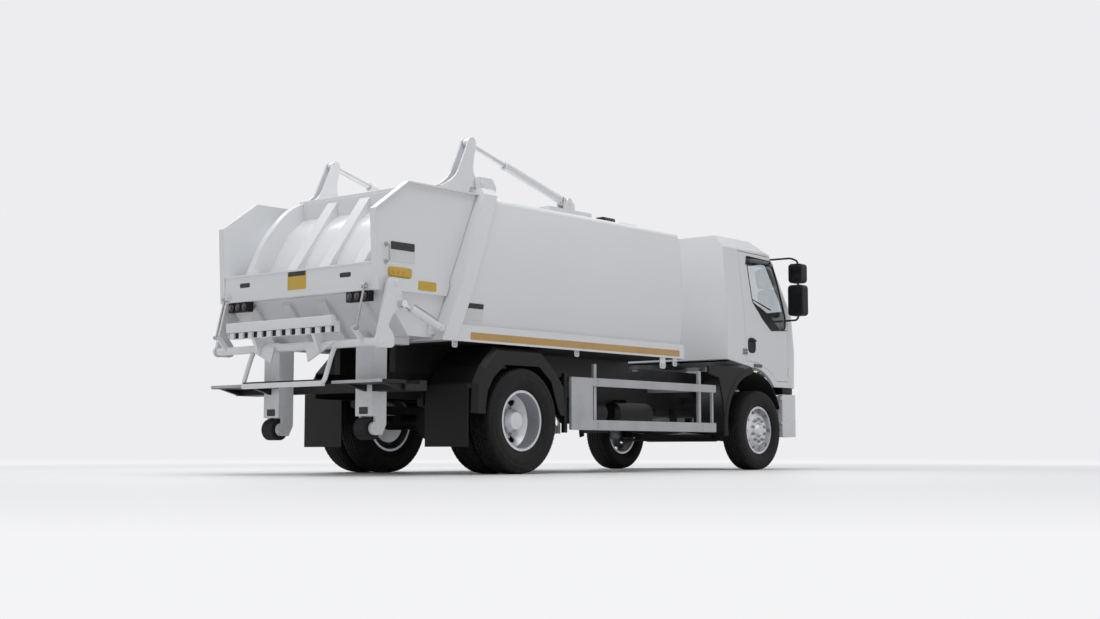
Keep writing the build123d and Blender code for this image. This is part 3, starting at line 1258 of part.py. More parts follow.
def grown(points, gap):
    cx = sum(x for x, _ in points) / len(points)
    cz = sum(z for _, z in points) / len(points)
    size = max(hypot(x - cx, z - cz) for x, z in points)
    scale = 1 + gap / size * 1.6
    return [(cx + (x - cx) * scale, cz + (z - cz) * scale) for x, z in points]


def door_prism(side, gap):
    y0, y1 = (700, 1300) if side > 0 else (-1300, -700)
    return slab_xz(grown(DOOR_OUTLINE, gap), y0, y1)


def door_cut(side):
    # the doorway; the floor behind it stays with the cab
    return door_prism(side, PANEL_GAP) - CAB_ROOM


def on_side(shape, side):
    return shape if side > 0 else other_side(shape)


def hinge_leaf(x0, x1, z0, z1):
    y1 = DOOR_HINGE_Y - PANEL_GAP / 2
    leaf = block(x0, x1, y1 - DOOR_LEAF, y1, z0, z1)
    return leaf + rod_z(DOOR_HINGE_X, DOOR_HINGE_Y, DOOR_KNUCKLE_R, z0, z1)


def hinge_pockets(side):
    half = DOOR_EYE_HALF + DOOR_LEAF + PANEL_GAP
    reach = DOOR_KNUCKLE_R + PANEL_GAP
    x0, x1 = DOOR_HINGE_X - reach, DOOR_HINGE_X + reach
    y0, y1 = DOOR_HINGE_Y - 2 * DOOR_LEAF, DOOR_HINGE_Y + DOOR_LEAF
    low, high = [block(x0, x1, y0, y1, z - half, z + half) for z in DOOR_HINGE_Z]
    return on_side(low + high, side)


def hinge_eyes(side):
    # the door's half of its two hinges
    reach = DOOR_KNUCKLE_R + PANEL_GAP
    eyes = []
    for z in DOOR_HINGE_Z:
        eye = hinge_leaf(DOOR_HINGE_X - reach - DOOR_LEAF, DOOR_HINGE_X, z - DOOR_EYE_HALF, z + DOOR_EYE_HALF)
        eyes.append(eye - rod_z(DOOR_HINGE_X, DOOR_HINGE_Y, DOOR_PIN_R + FIT, z - 100, z + 100))
    return [on_side(eye, side) for eye in eyes]


def hinge_forks(side):
    # the cab's half: a leaf above and below each eye, and the pin
    reach = DOOR_KNUCKLE_R + PANEL_GAP
    inner = DOOR_EYE_HALF + FACE_GAP
    outer = inner + DOOR_LEAF
    forks = []
    for z in DOOR_HINGE_Z:
        fork = rod_z(DOOR_HINGE_X, DOOR_HINGE_Y, DOOR_PIN_R, z - outer, z + outer)
        for z0, z1 in ((z + inner, z + outer), (z - outer, z - inner)):
            fork += hinge_leaf(DOOR_HINGE_X, DOOR_HINGE_X + reach + DOOR_LEAF, z0, z1)
        forks.append(on_side(fork, side))
    return forks


def window_prism(side):
    y0, y1 = (700, 1300) if side > 0 else (-1300, -700)
    return slab_xz(WINDOW_OUTLINE, y0, y1)


SCREEN_PRISM = slab_yz(SCREEN_OUTLINE, FRONT_AXLE_X + 300, NOSE_X + 200)
GLASS_SHEET = (cab_loft(GLASS_INSET, CAB_NOSE_BOTTOM, CAB_TOP - GLASS_INSET)
               - cab_loft(GLASS_INSET + GLASS_PLATE, CAB_NOSE_BOTTOM - 1,
                          CAB_TOP - GLASS_INSET - GLASS_PLATE))
FRONT_SPLIT_X = FRONT_AXLE_X + 860
ROOF_CUT = block(CAB_REAR - 100, NOSE_X + 200, -1300, 1300, CAB_ROOF_Z, CAB_TOP + 100)
FRONT_CUT = block(FRONT_SPLIT_X, NOSE_X + 200, -1300, 1300, CAB_NOSE_BOTTOM - 100, 1940)


def cab_shell():
    shell = CAB_SKIN - ROOF_CUT - FRONT_CUT - SCREEN_PRISM
    for side in (-1, 1):
        shell -= door_cut(side) + hinge_pockets(side)
        for fork in hinge_forks(side):
            shell += fork
    beam = block(CAB_REAR + CAB_REST_X, FRONT_AXLE_X + 400, *CAB_REST_Y,
                 CAB_FLOOR_Z - CAB_REST_DROP, CAB_FLOOR_Z + 1)
    return shell + beam + other_side(beam)


def cab_roof():
    return CAB_SKIN & ROOF_CUT


def cab_front_panel():
    panel = CAB_SKIN & FRONT_CUT
    for side in (-1, 1):
        panel -= door_cut(side)
    slot_z = 1130
    while slot_z < 1500:
        panel -= block(FRONT_SPLIT_X + 100, NOSE_X + 100, -700, 700, slot_z, slot_z + 45)
        slot_z += 85
    for y in (-TILT_Y, TILT_Y):
        lug = rod_y(*TILT_PIVOT, TILT_LUG_R, y - TILT_LUG / 2, y + TILT_LUG / 2)
        lug += block(TILT_PIVOT[0] - TILT_LUG_R, TILT_PIVOT[0] + 40, y - TILT_LUG / 2, y + TILT_LUG / 2,
                     TILT_PIVOT[1], CAB_FLOOR_Z)
        panel += lug - rod_y(*TILT_PIVOT, TILT_PIN_R + FIT, y - TILT_LUG, y + TILT_LUG)
    return panel


def windscreen():
    return GLASS_SHEET & SCREEN_PRISM


def door(side):
    panel = (CAB_WALLS & door_prism(side, 0)) - window_prism(side) - hinge_pockets(side)
    for eye in hinge_eyes(side):
        panel += eye
    return panel


def door_glass(side):
    return GLASS_SHEET & window_prism(side)


def mirror_set():
    # two housings on one bent tube that leaves the corners of the door window
    x = FRONT_AXLE_X + MIRROR_X
    y = MIRROR_Y
    route = FilletPolyline(
        (FRONT_AXLE_X + 545, 985, MIRROR_TOP_Z), (FRONT_AXLE_X + 600, y, MIRROR_TOP_Z + 5),
        (x, y, MIRROR_TOP_Z - 15), (x, y, MIRROR_LOW_Z), (x + 22, DOOR_HINGE_Y - 25, MIRROR_LOW_Z),
        radius=MIRROR_BEND,
    )
    tube = sweep(Plane(origin=route @ 0, z_dir=route % 0) * Circle(MIRROR_TUBE_R), path=route)
    for z0, z1, half in MIRROR_HOUSINGS:
        shell = block(x - 70, x + 60, y - half, y + half, z0, z1)
        tube += fillet(shell.edges().filter_by(Axis.X), MIRROR_CORNER)
    return tube - door(1)


def seat(y):
    x = FRONT_AXLE_X + SEAT_REAR_X
    floor = CAB_FLOOR_Z + CAB_FLOOR_PLATE
    base = block(x + 60, x + 460, y - 190, y + 190, floor, floor + 220)
    base += block(x, x + 520, y - 240, y + 240, floor + 220, floor + 360)
    for outline, half in ((SEAT_BACK, 230), (SEAT_REST, 130)):
        base += slab_xz([(x + px, floor + pz) for px, pz in outline], y - half, y + half)
    return base


def cab_seats():
    return [seat(-SEAT_Y), seat(SEAT_Y)]


def dashboard():
    floor = CAB_FLOOR_Z + CAB_FLOOR_PLATE
    profile = [(x, floor) for x in DASH_FOOT_X] + list(DASH_OUTLINE)
    return slab_xz(from_axle(profile), -DASH_HALF, DASH_HALF) & CAB_ROOM


def steering_wheel():
    x, y, z = STEER_WHEEL
    ring = Cylinder(STEER_WHEEL_R, STEER_RIM) - Cylinder(STEER_WHEEL_R - STEER_RIM, 2 * STEER_RIM)
    ring += Box(STEER_RIM, 2 * (STEER_WHEEL_R - STEER_RIM / 2), 20) + Cylinder(2 * STEER_RIM, 40)
    ring += Pos(0, 0, -STEER_WHEEL_R / 2) * Cylinder(35, STEER_WHEEL_R)
    return Pos(FRONT_AXLE_X + x, y, z) * Rot(0, -STEER_LEAN, 0) * ring - dashboard()


# Bumper and lamps


def bumper_outline(inset, z):
    front_x = NOSE_X - inset
    y = BUMPER_HALF - inset
    corner = CAB_CORNER_R
    edge_x = front_x - CAB_FRONT_CROWN
    bend = corner * (1 - sqrt(0.5))
    rear = NOSE_X - BUMPER_DEPTH - 250
    left = ThreePointArc((edge_x - corner, y, z), (edge_x - bend, y - bend, z), (edge_x, y - corner, z))
    face = ThreePointArc((edge_x, y - corner, z), (front_x, 0, z), (edge_x, corner - y, z))
    right = ThreePointArc((edge_x, corner - y, z), (edge_x - bend, bend - y, z), (edge_x - corner, -y, z))
    lines = [Line((edge_x - corner, -y, z), (rear, -y, z)), Line((rear, -y, z), (rear, y, z)),
             Line((rear, y, z), (edge_x - corner, y, z))]
    return make_face([left, face, right] + lines)


LAMP_Z = (640, 830)
LAMP_Y = (560, 900)


def lamp_pocket(side):
    y0, y1 = sorted((side * LAMP_Y[0], side * LAMP_Y[1]))
    return block(NOSE_X - 300, NOSE_X + 50, y0, y1, *LAMP_Z)


def front_bumper():
    outer = extrude(bumper_outline(0, BUMPER_BOTTOM), amount=BUMPER_TOP - BUMPER_BOTTOM, dir=(0, 0, 1))
    inner = extrude(bumper_outline(BUMPER_WALL, BUMPER_BOTTOM - 1), amount=BUMPER_TOP - BUMPER_BOTTOM + 2,
                    dir=(0, 0, 1))
    band = outer - inner - block(0, FRONT_AXLE_X + ARCH_R, -2000, 2000, 0, 2000)
    for side in (-1, 1):
        band -= lamp_pocket(side)
        y0, y1 = sorted((side * 800, side * (BUMPER_HALF - 5)))
        for z in (560, 860):
            band += block(FRONT_AXLE_X + ARCH_R + 20, FRONT_AXLE_X + ARCH_R + 220, y0, y1, z, z + 30)
    beam = block(RAIL_FRONT_X, NOSE_X - BUMPER_WALL - 5, -300, 300,
                 RAIL_TOP - RAIL_DEPTH + 20, RAIL_TOP - 110)
    return band + beam - tow_pocket() + tow_eye()


def tow_pocket():
    return block(NOSE_X - 400, NOSE_X + 20, -TOW_POCKET / 2, TOW_POCKET / 2, TOW_Z - 90, TOW_Z + 90)


def tow_eye():
    # a forged tongue on the crossmember with an upright hole for the towing pin
    half = TOW_PLATE / 2
    x = NOSE_X - TOW_INSET
    tongue = block(RAIL_FRONT_X, x, -50, 50, TOW_Z - half, TOW_Z + half)
    tongue += rod_z(x, 0, 50, TOW_Z - half, TOW_Z + half)
    root = block(RAIL_FRONT_X, RAIL_FRONT_X + 40, -50, 50, TOW_Z - half, RAIL_TOP - RAIL_DEPTH + 60)
    return tongue + root - rod_z(x, 0, TOW_HOLE_R, TOW_Z - 100, TOW_Z + 100)


def headlamps():
    lamps = []
    for side in (-1, 1):
        solid = extrude(bumper_outline(8, LAMP_Z[0]), amount=LAMP_Z[1] - LAMP_Z[0], dir=(0, 0, 1))
        solid -= extrude(bumper_outline(BUMPER_WALL, LAMP_Z[0] - 1), amount=LAMP_Z[1] - LAMP_Z[0] + 2,
                         dir=(0, 0, 1))
        lamps.append(solid & lamp_pocket(side))
    return lamps


os.makedirs("parts", exist_ok=True)

REAR_HUB = Pos(0, 0, REAR_TYRE_R)
FRONT_HUB = Pos(FRONT_AXLE_X, 0, FRONT_TYRE_R)
REAR_TYRES = [REAR_HUB * tyre(REAR_TYRE_R, REAR_RIM_R, REAR_TYRE_Y - i * TWIN_SPACING) for i in (0, 1)]
FRONT_TYRE = FRONT_HUB * tyre(FRONT_TYRE_R, FRONT_RIM_R, FRONT_TYRE_Y)
REAR_RIM = REAR_HUB * rear_rim()
FRONT_RIM = FRONT_HUB * front_rim()
emit("rear_tyres_left", *REAR_TYRES)
emit("rear_tyres_right", *[other_side(t) for t in REAR_TYRES])
emit("rear_rims_left", REAR_RIM)
emit("rear_rims_right", other_side(REAR_RIM))
emit("front_tyre_left", FRONT_TYRE)
emit("front_tyre_right", other_side(FRONT_TYRE))
emit("front_rim_left", FRONT_RIM)
emit("front_rim_right", other_side(FRONT_RIM))

emit("chassis_frame", chassis_frame())
emit("leaf_springs", *leaf_springs())
emit("rear_axle", rear_axle())
emit("front_axle", front_axle())
emit("knuckle_left", knuckle())
emit("knuckle_right", other_side(knuckle()))
emit("track_rod", track_rod())
emit("engine_block", engine_block())
emit("drive_shaft", drive_shaft())
emit("fuel_tank", fuel_tank())
emit("air_tanks", *air_tanks())
emit("side_guards", *pair(side_guard()))
emit("rear_mudguards", *pair(rear_mudguard()))
emit("front_mudguards", *pair(front_mudguard()))
emit("front_bumper", front_bumper())
emit("headlamps", *headlamps())

emit("body_floor", body_floor())
emit("body_sides", *pair(body_side()))
emit("body_roof", body_roof())
emit("body_front_wall", body_front_wall())
emit("body_rear_ring", body_rear_ring())
emit("roof_rails", *roof_rails())

emit("tailgate_sides", *pair(tailgate_side()))
emit("tailgate_hood", tailgate_hood())
emit("tailgate_trough", tailgate_trough())
emit("tail_lamps", *tail_lamps())
emit("guard_posts", *guard_posts())
emit("rear_steps", rear_steps())
emit("guard_rollers", *guard_rollers())
emit("lift_barrels", lift_barrel(-LIFT_Y), lift_barrel(LIFT_Y))
emit("lift_rods", lift_rod(-LIFT_Y), lift_rod(LIFT_Y))

emit("lifter_arms", *pair(lifter_arm()))
emit("lifter_frame", lifter_frame())
emit("tilt_links", *tilt_links())
emit("bin_barrels", bin_barrel(-BIN_CYL_Y), bin_barrel(BIN_CYL_Y))
emit("bin_rods", bin_rod(-BIN_CYL_Y), bin_rod(BIN_CYL_Y))

emit("cab_shell", cab_shell())
emit("cab_roof", cab_roof())
emit("cab_front_panel", cab_front_panel())
emit("windscreen", windscreen())
emit("cab_seats", *cab_seats())
emit("dashboard", dashboard())
emit("steering_wheel", steering_wheel())
for name, side in (("left", 1), ("right", -1)):
    emit(f"door_{name}", door(side))
    emit(f"door_glass_{name}", door_glass(side))
    emit(f"mirrors_{name}", mirror_set() if side > 0 else other_side(mirror_set()))
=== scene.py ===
import math
import bmesh
import bpy
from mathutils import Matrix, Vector


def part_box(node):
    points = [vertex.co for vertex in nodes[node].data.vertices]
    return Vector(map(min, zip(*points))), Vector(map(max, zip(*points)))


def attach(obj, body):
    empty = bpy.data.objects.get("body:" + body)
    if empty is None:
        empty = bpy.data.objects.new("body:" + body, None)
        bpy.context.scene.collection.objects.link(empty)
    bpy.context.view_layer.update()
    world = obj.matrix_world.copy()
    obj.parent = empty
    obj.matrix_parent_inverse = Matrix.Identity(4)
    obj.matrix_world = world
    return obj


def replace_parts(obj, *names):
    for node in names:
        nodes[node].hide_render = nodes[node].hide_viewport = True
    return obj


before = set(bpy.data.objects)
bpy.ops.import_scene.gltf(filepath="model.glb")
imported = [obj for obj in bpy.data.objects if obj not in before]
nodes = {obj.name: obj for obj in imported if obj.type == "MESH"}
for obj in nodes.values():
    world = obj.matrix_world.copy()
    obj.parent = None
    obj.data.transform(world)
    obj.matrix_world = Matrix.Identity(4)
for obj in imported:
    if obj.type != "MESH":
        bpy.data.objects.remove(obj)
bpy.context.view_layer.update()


def middle(node):
    low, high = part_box(node)
    return (low + high) / 2


rearX = middle("rear_tyres_left").x
frontX = middle("front_tyre_left").x
print("frame loaded, axles at", round(rearX, 3), "and", round(frontX, 3))


# finishes

class Wire:
    # one socket of a node tree; plain operators add its maths nodes
    def __init__(self, owner, socket):
        self.owner = owner
        self.socket = socket

    def maths(self, operation, other=0.0, swapped=False):
        pair = (other, self) if swapped else (self, other)
        return self.owner.node("Math", {"operation": operation}, dict(enumerate(pair)))

    def __add__(self, other):
        return self.maths("ADD", other)

    def __radd__(self, other):
        return self.maths("ADD", other)

    def __sub__(self, other):
        return self.maths("SUBTRACT", other)

    def __rsub__(self, other):
        return self.maths("SUBTRACT", other, True)

    def __mul__(self, other):
        return self.maths("MULTIPLY", other)

    def __rmul__(self, other):
        return self.maths("MULTIPLY", other)

    def __gt__(self, other):
        return self.maths("GREATER_THAN", other)

    def __lt__(self, other):
        return self.maths("LESS_THAN", other)

    def clamped(self, low=0.0, high=1.0):
        return self.owner.node("MapRange", {"clamp": True}, {0: self, 1: low, 2: high, 3: 0.0, 4: 1.0})


class Nodes:
    # a node tree; every node and link in it comes from these two methods
    def __init__(self, tree):
        self.tree = tree

    def node(self, kind, settings=None, feeds=None, out=0):
        made = self.tree.nodes.new("ShaderNode" + kind)
        for key, value in (settings or {}).items():
            setattr(made, key, value)
        for key, value in (feeds or {}).items():
            self.link(made.inputs[key], value)
        return Wire(self, made.outputs[out])

    def link(self, socket, value):
        if isinstance(value, Wire):
            self.tree.links.new(value.socket, socket)
        else:
            socket.default_value = value


class Finish(Nodes):
    sockets = {"base": "Base Color", "coat": "Coat Weight"}

    def __init__(self, name, fixed=None):
        self.material = bpy.data.materials.new(name)
        self.material.use_nodes = True
        super().__init__(self.material.node_tree)
        self.shader = self.tree.nodes["Principled BSDF"]
        for socket, value in (fixed or {}).items():
            self.shader.inputs[socket].default_value = value
        self.place = self.node("TexCoord", out="Object")

    def feed(self, **values):
        for key, value in values.items():
            self.link(self.shader.inputs[self.sockets.get(key, key.title())], value)
        return self

    def along(self, axis):
        return self.node("SeparateXYZ", None, {0: self.place}, axis)

    def stretched(self, scale):
        return self.node("Mapping", None, {"Vector": self.place, "Scale": scale})

    def noise(self, scale, detail=3.0, place=None):
        return self.node("TexNoise", None, {"Vector": place or self.place, "Scale": scale, "Detail": detail})

    def blend(self, share, first, second):
        return self.node("Mix", {"data_type": "RGBA"}, {0: share, 6: first, 7: second}, 2)

    def relief(self, height, strength=0.2, depth=0.001, rounding=0.0):
        feeds = {"Height": height, "Strength": strength, "Distance": depth}
        if rounding:
            feeds["Normal"] = self.node("Bevel", {"samples": 4}, {"Radius": rounding})
        return self.feed(normal=self.node("Bump", None, feeds))


def shade(colour, factor):
    return tuple(channel * factor for channel in colour[:3]) + (1,)


paintLook = dict(white=(0.80, 0.81, 0.83, 1), dirt=(0.33, 0.31, 0.28, 1), dirtTop=1.5, rounding=0.004)


def paintFinish(name, colour, gloss=0.26, dirtShare=0.30):
    made = Finish(name, {"Coat Roughness": 0.06, "Specular IOR Level": 0.5})
    clouds = made.noise(0.9, 2.0)
    speck = made.noise(38.0, 5.0)
    low = 1 - made.along("Z").clamped(0.25, paintLook["dirtTop"])
    film = (low * low * dirtShare + 0.02) * speck.clamped(0.38, 0.78)
    tone = made.blend(clouds, shade(colour, 0.975), shade(colour, 1.015))
    made.feed(base=made.blend(film, tone, paintLook["dirt"]))
    made.feed(roughness=gloss + 0.10 * speck + 0.35 * film, coat=0.35 - 0.3 * film)
    return made.relief(made.noise(420.0, 1.0), 0.04, 0.0006, paintLook["rounding"])


chassisLook = dict(colour=(0.010, 0.010, 0.011, 1), dust=(0.07, 0.066, 0.06, 1))


def blackMetalFinish(name):
    made = Finish(name, {"Specular IOR Level": 0.3})
    speck = made.noise(24.0, 6.0)
    streak = made.noise(5.0, 3.0, made.stretched((1, 1, 0.2)))
    dust = (speck * streak).clamped(0.22, 0.55) * 0.25
    made.feed(base=made.blend(dust, chassisLook["colour"], chassisLook["dust"]))
    made.feed(roughness=0.42 + 0.3 * dust)
    return made.relief(made.noise(160.0, 3.0), 0.12, 0.001, 0.003)


# insideY and insideZ bound the inside of the skirts, which is painted black: partly black paint, partly
# painted shade
floorLook = dict(blackBelow=1.246, insideY=1.200, insideZ=1.400)


def floorFinish():
    # white skirts over black bearers; the inside of the skirts is black, partly black paint and partly
    # painted shade under the body
    made = Finish("floorPaint", {"Coat Roughness": 0.06})
    speck = made.noise(24.0, 5.0)
    height = made.along("Z")
    # inside mask: black paint and painted shade under the body, within the skirts
    inside = (made.along("Y").maths("ABSOLUTE") < floorLook["insideY"]) * (height < floorLook["insideZ"])
    under = (inside + (height < floorLook["blackBelow"])).clamped()
    upper = made.blend(0.12 * speck, paintLook["white"], paintLook["dirt"])
    made.feed(base=made.blend(under, upper, chassisLook["colour"]))
    made.feed(roughness=0.28 + 0.10 * speck + 0.15 * under, coat=0.3 - 0.3 * under)
    return made.relief(made.noise(420.0, 1.0), 0.04, 0.0006, paintLook["rounding"])


def plasticFinish(name, colour, grain=700.0, rough=0.48):
    made = Finish(name, {"Specular IOR Level": 0.25})
    cells = made.node("TexVoronoi", None, {"Vector": made.place, "Scale": grain})
    fade = made.noise(3.0, 4.0)
    made.feed(base=made.blend(fade, shade(colour, 0.8), shade(colour, 1.35)))
    made.feed(roughness=rough - 0.06 + 0.14 * fade)
    return made.relief(cells, 0.15, 0.0006, 0.004)


def metalFinish(name, colour, rough, brushed=(1, 1, 1), metallic=1.0):
    made = Finish(name, {"Metallic": metallic})
    lines = made.noise(90.0, 4.0, made.stretched(brushed))
    stain = made.noise(4.0, 5.0).clamped(0.45, 0.8)
    made.feed(base=made.blend(0.35 * stain, colour, shade(colour, 0.55)))
    made.feed(roughness=rough + 0.14 * lines + 0.15 * stain)
    return made.relief(lines, 0.06, 0.0005, 0.003)


tyreLook = dict(colour=(0.009, 0.009, 0.010, 1), dust=(0.035, 0.033, 0.03, 1))


def tyreFinish():
    made = Finish("tyreRubber", {"Specular IOR Level": 0.22})
    scuff = made.noise(16.0, 6.0)
    fine = made.noise(300.0, 2.0)
    dust = scuff.clamped(0.45, 0.8) * 0.55
    made.feed(base=made.blend(dust, tyreLook["colour"], tyreLook["dust"]), roughness=0.62 + 0.25 * dust)
    return made.relief(fine, 0.25, 0.0008)


def glassFinish(name, tint, rough=0.01):
    made = Finish(name, {"Transmission Weight": 1.0, "IOR": 1.45})
    film = made.noise(9.0, 5.0).clamped(0.4, 0.9)
    made.feed(base=made.blend(film, tint, shade(tint, 0.93)), roughness=rough + 0.03 * film)
    return made


def lensFinish(name, colour):
    made = Finish(name, {"Transmission Weight": 0.35, "IOR": 1.49,
                         "Coat Weight": 0.6, "Coat Roughness": 0.04})
    prism = made.node("TexVoronoi", {"feature": "DISTANCE_TO_EDGE"}, {"Vector": made.place, "Scale": 130.0})
    tone = made.blend(prism.clamped(0.0, 0.3), shade(colour, 0.45), colour)
    made.feed(base=tone, roughness=0.12 + 0.1 * prism)
    return made.relief(prism, 0.5, 0.002)


tapeLook = dict(amber=(0.62, 0.36, 0.085, 1), cellsPerMetre=130.0)


def tapeFinish():
    made = Finish("amberTape", {"Coat Weight": 0.5, "Coat Roughness": 0.15})
    cells = made.node("TexVoronoi", {"feature": "DISTANCE_TO_EDGE"},
                      {"Vector": made.place, "Scale": tapeLook["cellsPerMetre"], "Randomness": 0.0})
    grime = made.noise(7.0, 5.0).clamped(0.5, 0.85)
    tone = made.blend(cells.clamped(0.0, 0.12), shade(tapeLook["amber"], 0.8), tapeLook["amber"])
    made.feed(base=made.blend(0.3 * grime, tone, (0.2, 0.15, 0.08, 1)), roughness=0.35 + 0.2 * grime)
    return made.relief(cells, 0.2, 0.0008)


def plateFinish(name, colour):
    made = Finish(name)
    fade = made.noise(11.0, 5.0)
    edge = made.noise(60.0, 4.0).clamped(0.55, 0.75)
    tone = made.blend(fade, shade(colour, 0.9), colour)
    made.feed(base=made.blend(0.18 * edge, tone, (0.25, 0.24, 0.22, 1)))
    made.feed(roughness=0.36 + 0.2 * fade)
    return made.relief(made.noise(220.0, 2.0), 0.05, 0.0005)


clothLook = dict(dark=(0.035, 0.037, 0.042, 1), light=(0.085, 0.088, 0.097, 1), thread=900.0)


def clothFinish():
    made = Finish("seatCloth", {"Sheen Weight": 0.35, "Sheen Roughness": 0.5})
    threads = {"Vector": made.place, "Scale": clothLook["thread"] / 6.3}
    warp = made.node("TexWave", {"bands_direction": "X"}, threads)
    weft = made.node("TexWave", {"bands_direction": "Z"}, threads)
    weave = warp * weft
    made.feed(base=made.blend(0.6 * weave + 0.4 * made.noise(30.0), clothLook["dark"], clothLook["light"]))
    made.feed(roughness=0.85 + 0.1 * weave)
    return made.relief(weave, 0.4, 0.001)


def treadPlateFinish():
    made = Finish("treadPlate")
    lugs = made.node("TexChecker", None, {"Vector": made.stretched((34, 34, 34)), "Scale": 1.0}, "Fac")
    worn = made.noise(28.0, 5.0).clamped(0.5, 0.8)
    tone = made.blend(0.5 * worn, (0.02, 0.02, 0.022, 1), (0.13, 0.13, 0.13, 1))
    made.feed(base=tone, roughness=0.4 + 0.25 * worn)
    return made.relief(lugs, 0.5, 0.003)


white = paintFinish("whitePaint", paintLook["white"])
cabWhite = paintFinish("cabPaint", shade(paintLook["white"], 0.98), 0.20, 0.22)
floorPaint = floorFinish()
blackMetal = blackMetalFinish("chassisPaint")
blackPlastic = plasticFinish("blackPlastic", (0.010, 0.010, 0.011, 1))
dashPlastic = plasticFinish("dashPlastic", (0.055, 0.057, 0.062, 1), 900.0, 0.6)
softRubber = plasticFinish("sealRubber", (0.013, 0.013, 0.014, 1), 400.0, 0.6)
guardGrey = metalFinish("guardPaint", (0.47, 0.48, 0.50, 1), 0.38, (0.05, 1, 1), 0.3)
tankMetal = metalFinish("tankMetal", (0.55, 0.56, 0.58, 1), 0.30, (0.1, 1, 1))
wheelSilver = metalFinish("wheelSilver", (0.66, 0.67, 0.69, 1), 0.26, (1, 1, 1), 0.9)
castGrey = metalFinish("castGrey", (0.07, 0.07, 0.075, 1), 0.5, (1, 1, 1), 0.6)
rodChrome = metalFinish("rodChrome", (0.72, 0.73, 0.75, 1), 0.08, (0.1, 1, 1))
boltSteel = metalFinish("boltSteel", (0.42, 0.42, 0.43, 1), 0.32)
tyreRubber = tyreFinish()
clearGlass = glassFinish("clearGlass", (0.76, 0.79, 0.80, 1))
mirrorGlass = metalFinish("mirrorGlass", (0.035, 0.038, 0.042, 1), 0.06, (1, 1, 1), 0.8)
smokeTint = glassFinish("smokeTint", (0.06, 0.065, 0.07, 1), 0.05)
lampRed = lensFinish("lampRed", (0.045, 0.005, 0.005, 1))
lampSmoke = lensFinish("lampSmoke", (0.022, 0.018, 0.016, 1))
lampAmber = lensFinish("lampAmber", (0.55, 0.20, 0.015, 1))
lampClear = lensFinish("lampClear", (0.80, 0.82, 0.84, 1))
amberTape = tapeFinish()
yellowPlate = plateFinish("yellowPlate", (0.66, 0.43, 0.05, 1))
whitePlate = plateFinish("whitePlate", (0.74, 0.75, 0.76, 1))
blackPlate = plateFinish("blackPlate", (0.018, 0.018, 0.02, 1))
seatCloth = clothFinish()
treadPlate = treadPlateFinish()

nodeFinishes = (
    (floorPaint, "body_floor"),
    (white, "body_sides body_roof body_front_wall body_rear_ring roof_rails tailgate_sides tailgate_hood "
            "tailgate_trough lift_barrels lifter_arms lifter_frame bin_barrels guard_posts"),
    (cabWhite, "cab_shell cab_roof cab_front_panel door_left door_right front_bumper"),
    (blackMetal, "chassis_frame rear_axle front_axle leaf_springs knuckle_left knuckle_right track_rod "
                 "drive_shaft air_tanks rear_steps"),
    (guardGrey, "side_guards"),
    (tankMetal, "fuel_tank"),
    (wheelSilver, "rear_rims_left rear_rims_right front_rim_left front_rim_right"),
    (castGrey, "engine_block"),
    (clearGlass, "windscreen door_glass_left door_glass_right"),
    (blackPlastic, "mirrors_left mirrors_right rear_mudguards front_mudguards tail_lamps"),
    (dashPlastic, "dashboard steering_wheel"),
    (boltSteel, "tilt_links"),
    (rodChrome, "lift_rods bin_rods"),
    (softRubber, "guard_rollers"),
    (lampClear, "headlamps"),
)
for finish, names in nodeFinishes:
    for node in names.split():
        nodes[node].data.materials.clear()
        nodes[node].data.materials.append(finish.material)
print("finishes on", sum(len(names.split()) for _, names in nodeFinishes), "nodes")


# mesh making

def addPrism(bm, outline, low, high, axis="y"):
    def corner(a, b, depth):
        return {"x": (depth, a, b), "y": (a, depth, b), "z": (a, b, depth)}[axis]
    near = [bm.verts.new(corner(a, b, low)) for a, b in outline]
    far = [bm.verts.new(corner(a, b, high)) for a, b in outline]
    bm.faces.new(near)
    bm.faces.new(far[::-1])
    for i in range(len(outline)):
        j = (i + 1) % len(outline)
        bm.faces.new((near[i], near[j], far[j], far[i]))


def addTube(bm, path, radius, sides=10, closed=False):
    points = [Vector(p) for p in path]
    count = len(points)
    rings = []
    side = None
    for i, point in enumerate(points):
        before = points[i - 1] if closed or i else point
        after = points[(i + 1) % count] if closed or i < count - 1 else point
        ahead = (after - before).normalized()
        if side is None:
            side = ahead.orthogonal().normalized()
        side = (side - ahead * side.dot(ahead)).normalized()
        up = ahead.cross(side)
        leaving, coming = (after - point), (point - before)
        stretch = 1.0
        if leaving.length > 1e-6 and coming.length > 1e-6:
            stretch = min(1.6, 1 / max(0.3, math.cos(leaving.angle(coming) / 2)))
        turns = [2 * math.pi * k / sides for k in range(sides)]
        rings.append([bm.verts.new(point + radius * stretch ** 0.5 * (math.cos(t) * side + math.sin(t) * up))
                      for t in turns])
    for i in range(count if closed else count - 1):
        one, two = rings[i], rings[(i + 1) % count]
        for k in range(sides):
            bm.faces.new((one[k], one[(k + 1) % sides], two[(k + 1) % sides], two[k]))
    if not closed:
        bm.faces.new(rings[0][::-1])
        bm.faces.new(rings[-1])


def addLathe(bm, profile, centre, steps=64):
    # profile rows are radius and distance along y; the axis is parallel to y
    x, y, z = centre
    rings = []
    for k in range(steps):
        turn = 2 * math.pi * k / steps
        rings.append([bm.verts.new((x + r * math.cos(turn), y + along, z + r * math.sin(turn)))
                      for r, along in profile])
    for one, two in zip(rings, rings[1:] + rings[:1]):
        for i in range(len(profile) - 1):
            bm.faces.new((one[i], one[i + 1], two[i + 1], two[i]))


